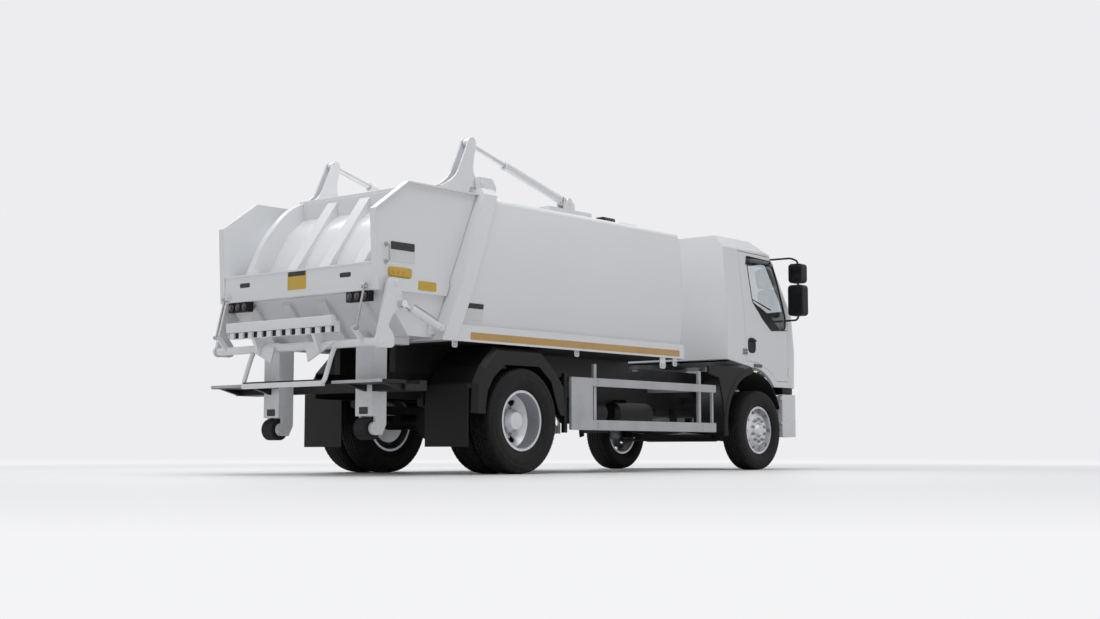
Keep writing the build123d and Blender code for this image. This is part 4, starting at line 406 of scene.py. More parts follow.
def piece(name, bm, body, finish, sharp=35, bevel=0.0):
    bmesh.ops.recalc_face_normals(bm, faces=bm.faces)
    mesh = bpy.data.meshes.new(name)
    bm.to_mesh(mesh)
    bm.free()
    mesh.materials.append(finish.material)
    mesh.shade_smooth()
    mesh.set_sharp_from_angle(angle=math.radians(sharp))
    made = bpy.data.objects.new(name, mesh)
    bpy.context.scene.collection.objects.link(made)
    if bevel:
        rounding = made.modifiers.new("roundedEdges", "BEVEL")
        rounding.width = bevel
        rounding.segments = 2
        rounding.limit_method = "ANGLE"
        rounding.angle_limit = math.radians(30)
    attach(made, body)
    return made


def rounded(outline, radius, steps=4):
    # the outline with its corners turned to arcs
    result = []
    for i, point in enumerate(outline):
        here = Vector(point)
        before, after = Vector(outline[i - 1]), Vector(outline[(i + 1) % len(outline)])
        back, ahead = before - here, after - here
        cut = min(radius, 0.45 * back.length, 0.45 * ahead.length)
        start, end = here + back.normalized() * cut, here + ahead.normalized() * cut
        for k in range(steps + 1):
            t = k / steps
            result.append(tuple((1 - t) ** 2 * start + 2 * t * (1 - t) * here + t * t * end))
    return result


def rectangle(a0, a1, b0, b1):
    return [(a0, b0), (a1, b0), (a1, b1), (a0, b1)]


def mirrored(profile, side):
    # a turned form's profile, facing out on either side of the truck
    return [(r, side * y) for r, y in profile]


sides = (("left", 1), ("right", -1))


# tyres

tyreSize = dict(width=0.280, treadHalf=0.101, pitches=64, rows=5, flange=0.013, steps=128)
tyreSets = (
    # node stem, body stem, radius, rim radius, middles of the tyres along y
    ("rear_tyres", "rear_wheels", 0.520, 0.298, (1.075, 0.755)),
    ("front_tyre", "front_wheel", 0.475, 0.284, (1.025,)),
)


def tyreProfile(radius, rim):
    # from a bead up the side wall to the floor of the tread, and down the other wall
    half = tyreSize["width"] / 2
    bead = rim - tyreSize["flange"] + 0.001
    wall = radius - rim
    rise = [
        (bead, 0.090), (rim + 0.001, 0.0915), (rim + 0.010, 0.112), (rim + 0.016, 0.122),
        (rim + 0.026, 0.1225), (rim + 0.030, 0.126), (rim + 0.36 * wall, 0.1375), (rim + 0.50 * wall, half),
        (rim + 0.56 * wall, half), (rim + 0.58 * wall, half - 0.0025), (rim + 0.66 * wall, half - 0.003),
        (rim + 0.68 * wall, half - 0.0008), (radius - 0.052, 0.1365), (radius - 0.040, 0.132),
        (radius - 0.017, 0.118), (radius - 0.012, 0.108), (radius - 0.012, 0.0),
    ]
    return rise + [(r, -y) for r, y in reversed(rise[:-1])]


treadBlock = dict(foot=0.016, top=0.0005, gap=0.007, span=0.84, slant=0.012, chamfer=0.0016,
                  edgeSpan=0.70, edgeOut=0.012, edgeDrop=0.006)


def addTread(bm, centre, radius):
    rows, pitches, half = tyreSize["rows"], tyreSize["pitches"], tyreSize["treadHalf"]
    rowWidth = 2 * half / rows
    for row in range(rows):
        edgeRow = row in (0, rows - 1)
        y0 = -half + row * rowWidth + treadBlock["gap"] / 2
        y1 = y0 + rowWidth - treadBlock["gap"]
        if edgeRow:
            y0, y1 = (y0 - treadBlock["edgeOut"], y1) if row == 0 else (y0, y1 + treadBlock["edgeOut"])
        for k in range(pitches):
            start = 2 * math.pi * (k + 0.5 * (row % 2)) / pitches
            span = 2 * math.pi / pitches * treadBlock["edgeSpan" if edgeRow else "span"]
            slant = treadBlock["slant"] * (1 if row % 2 else -1)
            ring = []
            for depth, inset in ((treadBlock["foot"], 0.0), (treadBlock["top"], treadBlock["chamfer"])):
                for angle, y, lead in ((start, y0, -slant), (start + span, y0, -slant),
                                       (start + span, y1, slant), (start, y1, slant)):
                    turn = angle + lead / radius * 1.6
                    turn += inset / radius * (1 if angle == start else -1)
                    r = radius - depth - (treadBlock["edgeDrop"] if edgeRow and abs(y) > half else 0.0)
                    ring.append(bm.verts.new((centre[0] + r * math.cos(turn),
                                              centre[1] + y + inset * (1 if y == y0 else -1),
                                              centre[2] + r * math.sin(turn))))
            for face in ((4, 5, 6, 7), (0, 1, 5, 4), (1, 2, 6, 5), (2, 3, 7, 6), (3, 0, 4, 7)):
                bm.faces.new([ring[i] for i in face])


shoulderRib = dict(half=0.010, lift=0.0035, rows=((0.050, 0.1365), (0.018, 0.1195)))    # depth, y


def addShoulderRibs(bm, centre, radius):
    # short ribs that show on the upper side wall
    width = shoulderRib["half"] / radius
    for k in range(tyreSize["pitches"]):
        turn = 2 * math.pi * (k + 0.35) / tyreSize["pitches"]
        for face in (-1, 1):
            verts = []
            for depth, y in shoulderRib["rows"]:
                r = radius - depth
                for t, lift in ((turn - width, 0.0), (turn, shoulderRib["lift"]), (turn + width, 0.0)):
                    verts.append(bm.verts.new((centre[0] + r * math.cos(t), centre[1] + face * (y + lift),
                                               centre[2] + r * math.sin(t))))
            bm.faces.new((verts[0], verts[1], verts[4], verts[3]))
            bm.faces.new((verts[1], verts[2], verts[5], verts[4]))


def makeTyres():
    for stem, bodyStem, radius, rim, middles in tyreSets:
        for name, side in sides:
            bm = bmesh.new()
            axle = middle(f"{stem}_{name}")
            for y in middles:
                centre = (axle.x, side * y, radius)
                addLathe(bm, tyreProfile(radius, rim), centre, tyreSize["steps"])
                addTread(bm, centre, radius)
                addShoulderRibs(bm, centre, radius)
            made = piece(f"tyres_{stem}_{name}", bm, f"{bodyStem}_{name}", tyreRubber, 32)
            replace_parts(made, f"{stem}_{name}")


makeTyres()
print("tyres made")


# wheel fastenings

hubSize = dict(count=10, nutRadius=0.0165, boltRadius=0.009)
hubRows = (
    # node stem, body stem, disc face from the middle, bolt circle, nut height
    ("rear_rims", "rear_wheels", 0.935, 0.150, 0.030),
    ("front_rim", "front_wheel", 1.124, 0.134, 0.022),
)


def addNut(bm, centre, radius, y0, y1, spin=0.0, count=6):
    outline = [(centre[0] + radius * math.cos(spin + 2 * math.pi * k / count),
                centre[1] + radius * math.sin(spin + 2 * math.pi * k / count)) for k in range(count)]
    addPrism(bm, outline, *sorted((y0, y1)))


def makeNuts():
    nut, bolt = hubSize["nutRadius"], hubSize["boltRadius"]
    for stem, bodyStem, face, circle, height in hubRows:
        for name, side in sides:
            bm = bmesh.new()
            axle = middle(f"{stem}_{name}")
            for k in range(hubSize["count"]):
                turn = 2 * math.pi * (k + 0.5) / hubSize["count"]
                spot = (axle.x + circle * math.cos(turn), axle.z + circle * math.sin(turn))
                for radius, reach, count in ((nut, height, 6), (bolt, height + 0.012, 12),
                                             (nut * 1.3, 0.006, 16)):
                    addNut(bm, spot, radius, side * (face - 0.002), side * (face + reach), turn, count)
            piece(f"wheelNuts_{stem}_{name}", bm, f"{bodyStem}_{name}", boltSteel, 30, 0.0012)


makeNuts()


# stripes and bare plates

stripe = dict(start=-0.78, end=2.66, low=1.272, high=1.342, face=1.210, proud=0.0016)


def makeStripes():
    bm = bmesh.new()
    for _, side in sides:
        y = sorted((side * (stripe["face"] - 0.001), side * (stripe["face"] + stripe["proud"])))
        outline = rectangle(rearX + stripe["start"], rearX + stripe["end"], stripe["low"], stripe["high"])
        addPrism(bm, rounded(outline, 0.012), *y)
    piece("amberStripes", bm, "chassis", amberTape)


makeStripes()

plates = (
    # name, body, finish, x from and to, counted from the rear axle, z from and to, y of the face behind
    ("sideBoard", "tailgate", whitePlate, -1.720, -1.400, 1.940, 2.130, -1.077),
    ("sideBoardBand", "tailgate", blackPlate, -1.712, -1.408, 2.050, 2.122, -1.0795),
    ("sideYellowPlate", "tailgate", yellowPlate, -1.380, -1.145, 1.700, 1.785, -1.107),
)


def makePlates():
    for name, body, finish, x0, x1, z0, z1, y in plates:
        bm = bmesh.new()
        outline = rounded(rectangle(rearX + x0, rearX + x1, z0, z1), 0.010)
        addPrism(bm, outline, y - 0.004, y + 0.0015)
        piece(name, bm, body, finish, 35, 0.0008)


makePlates()
print("stripes and plates made")


# tailgate fittings

gate = dict(tail=-1.900, sideY=1.077)

turnedTo = {
    # places a point of a form turned round y so that it is round x, y or z
    "x": lambda x, y, z: (y, x, z),
    "y": lambda x, y, z: (x, y, z),
    "z": lambda x, y, z: (x, z, y),
}


def addKnob(bm, centre, profile, axis="x", steps=24):
    # closed turned form; profile rows are radius and distance along the axis, ends on the axis
    place = turnedTo[axis]
    base = Vector(centre)
    turns = [2 * math.pi * k / steps for k in range(steps)]
    rings = []
    for r, along in profile:
        used = turns[:1] if r < 1e-6 else turns
        rings.append([bm.verts.new(base + Vector(place(r * math.cos(t), along, r * math.sin(t))))
                      for t in used])
    for one, two in zip(rings, rings[1:]):
        for k in range(steps):
            ring = [one[k % len(one)], one[(k + 1) % len(one)], two[(k + 1) % len(two)], two[k % len(two)]]
            bm.faces.new(list(dict.fromkeys(ring)))


sill = dict(
    pulls=((0.662, 0.812), (-0.760, -0.612)), pullZ=1.825, pullHalf=0.022, lipHalf=1.036,
    lips=((1.906, 1.927, 0.008), (1.664, 1.704, 0.014)),    # z from and to, how far it stands out
    sign=(-0.151, 0.108, 1.735, 1.915), band=(-0.143, 0.100, 1.862, 1.908))


def makeSillFittings():
    x = rearX + gate["tail"]
    slots, lips, sign, band = (bmesh.new() for _ in range(4))
    for y0, y1 in sill["pulls"]:
        outline = rectangle(y0, y1, sill["pullZ"] - sill["pullHalf"], sill["pullZ"] + sill["pullHalf"])
        addPrism(slots, rounded(outline, 0.02), x - 0.0015, x + 0.004, "x")
    for z0, z1, proud in sill["lips"]:
        outline = rounded(rectangle(x - proud, x + 0.002, z0, z1), 0.006, 3)
        addPrism(lips, outline, -sill["lipHalf"], sill["lipHalf"])
    addPrism(sign, rounded(rectangle(*sill["sign"]), 0.012), x - 0.003, x + 0.001, "x")
    addPrism(band, rounded(rectangle(*sill["band"]), 0.010), x - 0.0038, x - 0.002, "x")
    piece("sillLips", lips, "tailgate", white, 35, 0.002)
    piece("pullSlots", slots, "tailgate", blackPlate)
    piece("sillPlate", sign, "tailgate", yellowPlate, 35, 0.0008)
    piece("sillPlateBand", band, "tailgate", blackPlate)


makeSillFittings()

grab = dict(x=-1.770, out=0.046, radius=0.008, feet=(1.930, 2.090), rows=(
    # share of the reach, z
    (0.0, 1.930), (0.7, 1.932), (1.0, 1.950), (1.0, 2.070), (0.7, 2.088), (0.0, 2.090)))
grabFoot = ((0, 0.004), (0.024, 0.004), (0.024, -0.004), (0.016, -0.008), (0, -0.008))


def makeGrabHandle():
    bm = bmesh.new()
    x, y = rearX + grab["x"], -gate["sideY"]
    addTube(bm, [(x, y - grab["out"] * reach, z) for reach, z in grab["rows"]], grab["radius"], 12)
    for z in grab["feet"]:
        addKnob(bm, (x, y, z), grabFoot, "y", 20)
    piece("grabHandle", bm, "tailgate", guardGrey)


makeGrabHandle()

hood = dict(
    # profiles in x from the rear axle and z: skin, deep end rib, straight middle ribs
    skin=((-1.232, 2.530), (-1.395, 2.392), (-1.525, 2.212), (-1.648, 2.000), (-1.735, 1.780)),
    end=((-1.180, 2.728), (-1.400, 2.619), (-1.593, 2.432), (-1.752, 2.222), (-1.868, 1.977),
         (-1.886, 1.922)),
    rib=((-1.205, 2.712), (-1.340, 2.530), (-1.460, 2.364), (-1.590, 2.180), (-1.730, 1.985),
         (-1.772, 1.922)),
    endHeel=(-1.180, 2.560), ribHeel=(-1.200, 2.560), ribFoot=1.900, plate=0.020, plateDrop=0.006,
    # places across y
    endY=(0.660, 0.735), ribY=(-0.770, -0.298, 0.158), ribWidth=0.140, half=1.036,
    # x from and to, z from and to; the closing plate stands at the rear of the roof's wide part
    recess=(-1.236, -1.216, 2.505, 2.700), strip=(-1.224, -1.160, 2.699, 2.727),
    roof=(-1.200, -0.566, 2.655, 2.695), wide=(-0.990, -0.566, 2.655, 2.695),
    closing=(-0.990, -0.970, 1.700, 2.656))


def curve(points, steps=6):
    # a smooth line through the points
    rows = [Vector(point) for point in points]
    last = len(rows) - 1
    result = []
    for i in range(last):
        before, one, two, after = rows[max(0, i - 1)], rows[i], rows[i + 1], rows[min(last, i + 2)]
        for k in range(steps):
            t = k / steps
            square = 2 * before - 5 * one + 4 * two - after
            cube = 3 * one - before - 3 * two + after
            bend = square * t * t + cube * t ** 3
            result.append(tuple(0.5 * (2 * one + (two - before) * t + bend)))
    return result + [tuple(rows[-1])]


def fromAxle(points):
    return [(rearX + x, z) for x, z in points]


def makeHood():
    # arched skin set in behind the sill, deep end rib, middle ribs, top strip and roof
    skin = curve(hood["skin"])
    inside = [(x + hood["plate"], z - hood["plateDrop"]) for x, z in skin]
    foot = [(x, z) for x, z in inside if z > hood["ribFoot"]][::-1]
    half, (inner, outer) = hood["half"], hood["endY"]
    sheet, ribs, roof = bmesh.new(), bmesh.new(), bmesh.new()

    def addBlock(bm, part, low, high):
        addPrism(bm, fromAxle(rectangle(*hood[part])), low, high)

    addPrism(sheet, fromAxle(skin + inside[::-1]), -half, half)
    addBlock(sheet, "recess", -outer, outer)
    addPrism(ribs, fromAxle(curve(hood["end"]) + foot + [hood["endHeel"]]), inner, outer)
    bar = curve(hood["rib"]) + foot + [hood["ribHeel"]]
    for y in hood["ribY"]:
        addPrism(ribs, fromAxle(bar), y, y + hood["ribWidth"])
    addBlock(ribs, "strip", -outer, outer)
    addBlock(roof, "roof", -outer, outer)
    for _, side in sides:
        addBlock(roof, "wide", *sorted((side * (outer + 0.0005), side * half)))
    addBlock(roof, "closing", -half, half)
    for name, bm in (("hoodSkin", sheet), ("hoodRibs", ribs), ("hoodRoof", roof)):
        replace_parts(piece(name, bm, "tailgate", white, 35, 0.003), "tailgate_hood")


makeHood()

liftArm = dict(
    y=(0.912, 1.008), plate=0.020, eye=(-0.571, 3.213), eyeR=0.055, hinge=(-0.445, 2.822), hingeR=0.046,
    back=((-1.010, 2.738), (-0.900, 2.790), (-0.790, 2.880), (-0.722, 3.010), (-0.655, 3.150)),
    ahead=((-0.520, 3.180), (-0.546, 3.050), (-0.552, 2.945), (-0.520, 2.880), (-0.470, 2.868)),
    toe=(-1.012, 2.694), heel=((-0.585, 2.778), (-0.637, 2.694)))
ringLug = dict(
    y=(1.0315, 1.0485), pinY=1.048, pin=((0, 0.0), (0.030, 0.0), (0.030, 0.008), (0.022, 0.012), (0, 0.012)),
    outline=((-0.530, 2.764), (-0.545, 2.860), (-0.520, 2.885), (-0.300, 2.892), (-0.236, 2.800),
             (-0.250, 2.764)))


def arc(centre, radius, start, end, steps=8):
    turns = [math.radians(start + (end - start) * k / steps) for k in range(steps + 1)]
    return [(centre[0] + radius * math.cos(t), centre[1] + radius * math.sin(t)) for t in turns]


def makeLiftArms():
    # paired arm plates with swept feet, and the lugs of the body's ring beside them
    arms, lugs = bmesh.new(), bmesh.new()
    outline = [liftArm["toe"]] + curve(liftArm["back"], 5) + arc(liftArm["eye"], liftArm["eyeR"], 165, 5)
    outline += curve(liftArm["ahead"], 5) + arc(liftArm["hinge"], liftArm["hingeR"], 80, -90)
    outline += liftArm["heel"]
    hingeX, hingeZ = liftArm["hinge"]
    for _, side in sides:
        for y in liftArm["y"]:
            addPrism(arms, fromAxle(outline), *sorted((side * y, side * (y + liftArm["plate"]))))
        addPrism(lugs, fromAxle(rounded(ringLug["outline"], 0.02)), *sorted(side * y for y in ringLug["y"]))
        spot = (rearX + hingeX, side * ringLug["pinY"], hingeZ)
        addKnob(lugs, spot, mirrored(ringLug["pin"], side), "y", 24)
    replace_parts(piece("liftArms", arms, "tailgate", white, 35, 0.003), "tailgate_hood")
    piece("ringLugs", lugs, "chassis", white, 35, 0.002)


makeLiftArms()

controls = dict(x=(-1.743, -1.448), z=(1.798, 1.890), depth=0.022, step=0.006, rim=0.010,
                buttons=(0.015, 0.012, 0.012), first=0.050, pitch=0.065)


def makeControlBox():
    casing, caps = bmesh.new(), bmesh.new()
    wall = -gate["sideY"]
    face = wall - controls["depth"]
    (x0, x1), (z0, z1), rim = controls["x"], controls["z"], controls["rim"]
    outer = rectangle(rearX + x0, rearX + x1, z0, z1)
    inner = rectangle(rearX + x0 + rim, rearX + x1 - rim, z0 + rim, z1 - rim)
    addPrism(casing, rounded(outer, 0.036, 6), face + controls["step"], wall + 0.002)
    addPrism(casing, rounded(inner, 0.028, 6), face, wall - 0.01)
    for k, r in enumerate(controls["buttons"]):
        spot = (rearX + x0 + controls["first"] + controls["pitch"] * k, face, (z0 + z1) / 2)
        collar = r + 0.005
        addKnob(caps, spot, ((0, 0.004), (collar, 0.004), (collar, -0.002), (r, -0.003), (r * 0.9, -0.006),
                             (0, -0.007)), "y", 24)
    piece("controlBox", casing, "tailgate", yellowPlate, 35, 0.004)
    piece("controlButtons", caps, "tailgate", amberTape)


makeControlBox()

lampRow = dict(y=0.840, pitch=0.096, z=1.617, radius=0.036, face=-1.898)


def makeTailLenses():
    for k, (name, finish) in enumerate((("stop", lampRed), ("turn", lampSmoke), ("reverse", lampSmoke))):
        bm = bmesh.new()
        for _, side in sides:
            spot = (rearX + lampRow["face"], side * (lampRow["y"] + (1 - k) * lampRow["pitch"]), lampRow["z"])
            r = lampRow["radius"]
            addKnob(bm, spot, ((0, 0.002), (r, 0.002), (r, -0.004), (r * 0.7, -0.009), (0, -0.011)), "x", 32)
        piece(f"tailLens_{name}", bm, "tailgate", finish)


makeTailLenses()
print("tailgate fittings made")


# hydraulic pipes beside the bin cylinders

binLine = dict(y=1.184, base=(-1.172, 1.360), eye=(-1.653, 1.546), barrel=0.036)
binPipe = dict(start=0.075, end=0.385, out=0.006, radius=0.006, sunk=0.004, bend=0.012, lift=0.017)


def beside(line, distance, lift):
    # a point at a distance along a cylinder's line, lifted square to it
    start, end = Vector(line["base"]), Vector(line["eye"])
    ahead = (end - start).normalized()
    up = Vector((ahead.y, -ahead.x))
    spot = start + ahead * distance + up * lift
    return rearX + spot.x, spot.y


def makePipes():
    bm = bmesh.new()
    start, end, bend = binPipe["start"], binPipe["end"], binPipe["bend"]
    sunk, low, high = (binLine["barrel"] + rise for rise in (-binPipe["sunk"], bend, binPipe["lift"]))
    route = ((start, sunk), (start, low), (start + bend, high), (end - bend, high), (end, low), (end, sunk))
    for _, side in sides:
        points = []
        for distance, lift in route:
            x, z = beside(binLine, distance, lift)
            points.append((x, side * (binLine["y"] + binPipe["out"]), z))
        addTube(bm, points, binPipe["radius"], 10)
    piece("binPipes", bm, "bin_barrels", boltSteel)


makePipes()


# bin lifter

rest = dict(x=(-2.068, -2.012), half=0.556, z=(0.811, 0.859), strip=0.013, inset=0.003, short=0.020)
comb = dict(x=(-2.113, -2.060), half=0.742, z=(1.346, 1.440),
            lug=(-2.098, -2.072), lugZ=(1.286, 1.345), lugHalf=0.032, lugs=11, gap=0.006)


def addSpan(bm, x, half, z, corner=0.006, y=0.0):
    outline = rounded(rectangle(rearX + x[0], rearX + x[1], *z), corner, 3)
    addPrism(bm, outline, y - half, y + half)


def makeLifterParts():
    bar, strip, beam, gaps = (bmesh.new() for _ in range(4))
    addSpan(bar, rest["x"], rest["half"], rest["z"])
    top = rest["z"][1]
    addSpan(strip, (rest["x"][0] + rest["inset"], rest["x"][1] - rest["inset"]), rest["half"] - rest["short"],
            (top - 0.001, top + rest["strip"]), 0.004)
    piece("restBar", bar, "lifter_frame", white, 35, 0.002)
    piece("restStrip", strip, "lifter_frame", softRubber)
    addSpan(beam, comb["x"], comb["half"], comb["z"], 0.010)
    for k in range(comb["lugs"]):
        y = comb["half"] * (2 * (k + 0.5) / comb["lugs"] - 1)
        addSpan(beam, comb["lug"], comb["lugHalf"], comb["lugZ"], 0.006, y)
    low, high = comb["lugZ"]
    addSpan(gaps, (comb["lug"][1] - comb["gap"], comb["lug"][1]), comb["half"] - 0.004,
            (low + comb["gap"], high), 0.002)
    piece("combBeam", beam, "lifter_frame", white, 35, 0.002)
    piece("combGaps", gaps, "lifter_frame", softRubber)


makeLifterParts()

binArm = dict(y=(1.1125, 1.1435), caps=((-1.700, 1.734, 0.030), (-1.870, 1.196, 0.022)), outline=(
    (-1.640, 1.700), (-1.612, 1.600), (-1.604, 1.540), (-1.640, 1.500), (-1.721, 1.470), (-1.795, 1.347),
    (-1.745, 1.290), (-1.715, 1.250), (-1.718, 1.160), (-1.760, 1.146), (-1.915, 1.146), (-1.935, 1.180),
    (-1.915, 1.300), (-1.800, 1.745), (-1.770, 1.780), (-1.680, 1.790)))


def makeBinArms():
    # broad plates over the lifter's arms, with caps on their pins
    bm = bmesh.new()
    for _, side in sides:
        addPrism(bm, fromAxle(rounded(binArm["outline"], 0.03)), *sorted(side * y for y in binArm["y"]))
        for x, z, r in binArm["caps"]:
            cap = ((0, -0.001), (r, -0.001), (r, 0.003), (r * 0.7, 0.0065), (0, 0.007))
            addKnob(bm, (rearX + x, side * binArm["y"][1], z), mirrored(cap, side), "y", 20)
    piece("binArms", bm, "lifter_arms", white, 35, 0.003)


makeBinArms()
print("pipes and lifter parts made")


# cab outside

cab = dict(corner=0.250, crown=0.080)
cabRows = ((1.010, 1.215, 1.065), (1.450, 1.230, 1.065), (1.920, 1.175, 1.060), (2.660, 0.745, 1.005),
           (2.800, 0.480, 0.900))    # height, front from the axle, half width


def cabAt(z):
    for (z0, front0, half0), (z1, front1, half1) in zip(cabRows, cabRows[1:]):
        if z <= z1:
            t = max(0.0, (z - z0) / (z1 - z0))
            return front0 + t * (front1 - front0), half0 + t * (half1 - half0)
    return cabRows[-1][1:]


def cabSideY(x, z):
    # outer skin of the cab's side at a distance ahead of the front axle
    front, half = cabAt(z)
    past = x - (front - cab["crown"] - cab["corner"])
    if past <= 0:
        return half
    return half - cab["corner"] + math.sqrt(max(0.0, cab["corner"] ** 2 - past ** 2))


def cabNoseX(y, z):
    front, half = cabAt(z)
    return frontX + front - cab["crown"] * (y / (half - cab["corner"])) ** 2


window = ((-0.060, 2.590), (0.565, 2.570), (0.775, 1.870), (0.765, 1.740), (0.620, 1.720),
          (0.430, 1.860), (0.020, 2.020))


def spread(points, step=0.06, closed=True):
    # extra points along an outline so that a seal can follow the curved skin
    result = []
    count = len(points)
    for i in range(count if closed else count - 1):
        one, two = Vector(points[i]), Vector(points[(i + 1) % count])
        parts = max(1, round((two - one).length / step))
        result += [tuple(one.lerp(two, k / parts)) for k in range(parts)]
    return result if closed else result + [tuple(points[-1])]


def makeSideSeals():
    outline = spread(rounded(window, 0.045))
    for name, side in sides:
        bm = bmesh.new()
        addTube(bm, [(frontX + x, side * (cabSideY(x, z) - 0.005), z) for x, z in outline], 0.010, 8, True)
        piece(f"windowSeal_{name}", bm, f"door_{name}", softRubber)


makeSideSeals()


bodyBow = ((1.150, 1.410), (1.200, 2.120), (1.140, 2.620))    # y, z


def bodySideY(x, z):
    # outer skin of the bowed body side, the same along its length
    total = 0.0
    for i, (y, here) in enumerate(bodyBow):
        share = 1.0
        for j, (_, other) in enumerate(bodyBow):
            if i != j:
                share *= (z - other) / (here - other)
        total += y * share
    return total


def skinPlate(name, body, finish, outline, side, proud=0.004, sink=0.004, skin=cabSideY, start=frontX):
    # a plate bent to the cab's or the body's side
    bm = bmesh.new()
    face, back = [], []
    for x, z in outline:
        y = skin(x, z)
        face.append(bm.verts.new((start + x, side * (y + proud), z)))
        back.append(bm.verts.new((start + x, side * (y - sink), z)))
    bm.faces.new(face)
    bm.faces.new(back[::-1])
    for i in range(len(outline)):
        j = (i + 1) % len(outline)
        bm.faces.new((face[i], face[j], back[j], back[i]))
    return piece(name, bm, body, finish, 35, 0.0015)


handleWell = rectangle(-0.115, 0.062, 1.405, 1.592)
sideMarker = rectangle(0.010, 0.190, 1.236, 1.276)
ventPlate = rectangle(-0.245, -0.120, 1.372, 1.452)
sillTrim = ((0.030, 2.012), (0.430, 1.852), (0.618, 1.712), (0.765, 1.732), (0.800, 1.722),
            (0.425, 1.698), (0.230, 1.830))
doorPlates = (
    # name, body, finish, slot, outline, its corners, how far it stands out
    ("sillTrim", "door", blackPlastic, "black_plastic", sillTrim, 0.02, 0.004),
    ("handleWell", "door", blackPlastic, "black_plastic", handleWell, 0.07, 0.002),
    ("sideMarker", "door", lampSmoke, "lamp_clear", sideMarker, 0.02, 0.010),
    ("cabVent", "cab", cabWhite, "white_paint", ventPlate, 0.012, 0.003),
)
doorHandle = dict(
    bar=((-0.105, 1.555, 0.002), (-0.060, 1.562, 0.020), (0.020, 1.562, 0.020), (0.062, 1.556, 0.002)),
    radius=0.012, skinZ=1.530, lock=(0.045, 1.505),
    lockForm=((0, -0.006), (0.014, -0.006), (0.014, 0.006), (0, 0.006)))
louvre = dict(count=4, first=0.012, pitch=0.019, x=(-0.236, -0.129),
              section=((0.001, 0.0), (0.010, 0.0), (0.004, 0.010), (0.001, 0.010)))    # out, up


def makeDoorTrim():
    for name, side in sides:
        door = f"door_{name}"
        for part, body, finish, slot, outline, corner, proud in doorPlates:
            carrier = door if body == "door" else body
            skinPlate(f"{part}_{name}", carrier, finish, rounded(outline, corner), side, proud)
        bm, louvres = bmesh.new(), bmesh.new()
        lockX, lockZ = doorHandle["lock"]
        y = cabSideY(0.0, doorHandle["skinZ"])
        bar = [(frontX + x, side * (y + out), z) for x, z, out in doorHandle["bar"]]
        addTube(bm, bar, doorHandle["radius"])
        addKnob(bm, (frontX + lockX, side * y, lockZ), doorHandle["lockForm"], "y", 20)
        piece(f"doorHandle_{name}", bm, door, blackPlastic)
        for k in range(louvre["count"]):
            z = ventPlate[0][1] + louvre["first"] + k * louvre["pitch"]
            y = cabSideY(-0.18, z)
            addPrism(louvres, [(side * (y + out), z + up) for out, up in louvre["section"]],
                     frontX + louvre["x"][0], frontX + louvre["x"][1], "x")
        piece(f"ventLouvres_{name}", louvres, "cab", blackPlastic)


makeDoorTrim()

bodyPlates = (
    # name, finish, x from and to, counted from the rear axle, z from and to, how far it stands out
    ("bodyPlate", whitePlate, -0.856, -0.562, 1.460, 1.629, 0.003),
    ("bodyPlateBand", blackPlate, -0.849, -0.569, 1.572, 1.621, 0.0045),
)


def makeBodyPlates():
    for name, finish, x0, x1, z0, z1, proud in bodyPlates:
        outline = rounded(rectangle(x0, x1, z0, z1), 0.010)
        skinPlate(name, "chassis", finish, outline, -1, proud, 0.004, bodySideY, rearX)


makeBodyPlates()

deflector = dict(width=0.075, stand=0.030, route=(
    (-0.085, 2.480), (-0.060, 2.560), (0.060, 2.580), (0.300, 2.580), (0.560, 2.572), (0.590, 2.500)))


def makeDeflectors():
    route = spread(deflector["route"], 0.05, False)
    last = len(route) - 1
    for name, side in sides:
        bm = bmesh.new()
        rows = []
        for i, (x, z) in enumerate(route):
            # the blade narrows to nothing at its two ends
            share = min(1.0, i / 3, (last - i) / 4)
            before, after = Vector(route[max(0, i - 1)]), Vector(route[min(last, i + 1)])
            ahead = (after - before).normalized()
            inward = Vector((ahead.y, -ahead.x))
            row = []
            for k in range(5):
                t = k / 4
                px, pz = Vector((x, z)) + inward * deflector["width"] * share * t
                bow = deflector["stand"] * share * (1 - (1 - t) ** 2)
                row.append(bm.verts.new((frontX + px, side * (cabSideY(px, pz) + 0.004 + bow), pz)))
            rows.append(row)
        for one, two in zip(rows, rows[1:]):
            for k in range(4):
                bm.faces.new((one[k], one[k + 1], two[k + 1], two[k]))
        made = piece(f"rainDeflector_{name}", bm, f"door_{name}", smokeTint, 60)
        thick = made.modifiers.new("sheetThickness", "SOLIDIFY")
        thick.thickness = 0.004


makeDeflectors()

mirrorFaces = ((2.330, 2.530, 0.078), (1.925, 2.260, 0.088))    # z from and to, half width
mirrorSpot = dict(x=0.700, y=1.250)


def makeMirrorGlass():
    for name, side in sides:
        bm = bmesh.new()
        x, y = frontX + mirrorSpot["x"], side * mirrorSpot["y"]
        for z0, z1, half in mirrorFaces:
            addPrism(bm, rounded(rectangle(y - half, y + half, z0, z1), 0.035), x - 0.002, x + 0.003, "x")
        piece(f"mirrorGlass_{name}", bm, f"door_{name}", mirrorGlass)


makeMirrorGlass()

screen = dict(low=1.985, high=2.590, halfLow=0.900, halfHigh=0.830)
wiper = dict(
    footZ=1.955, elbowZ=2.100, tipZ=2.245, boss=((0, -0.006), (0.022, -0.006), (0.018, 0.022), (0, 0.026)),
    # y of an arm's foot and tip, y and z of its blade's ends
    rows=((-0.62, -0.30, (-0.66, 2.03), (0.02, 2.46)), (0.22, 0.50, (0.16, 2.03), (0.76, 2.46))))


def onScreen(y, z, out=0.0):
    return cabNoseX(y, z) + out, y, z


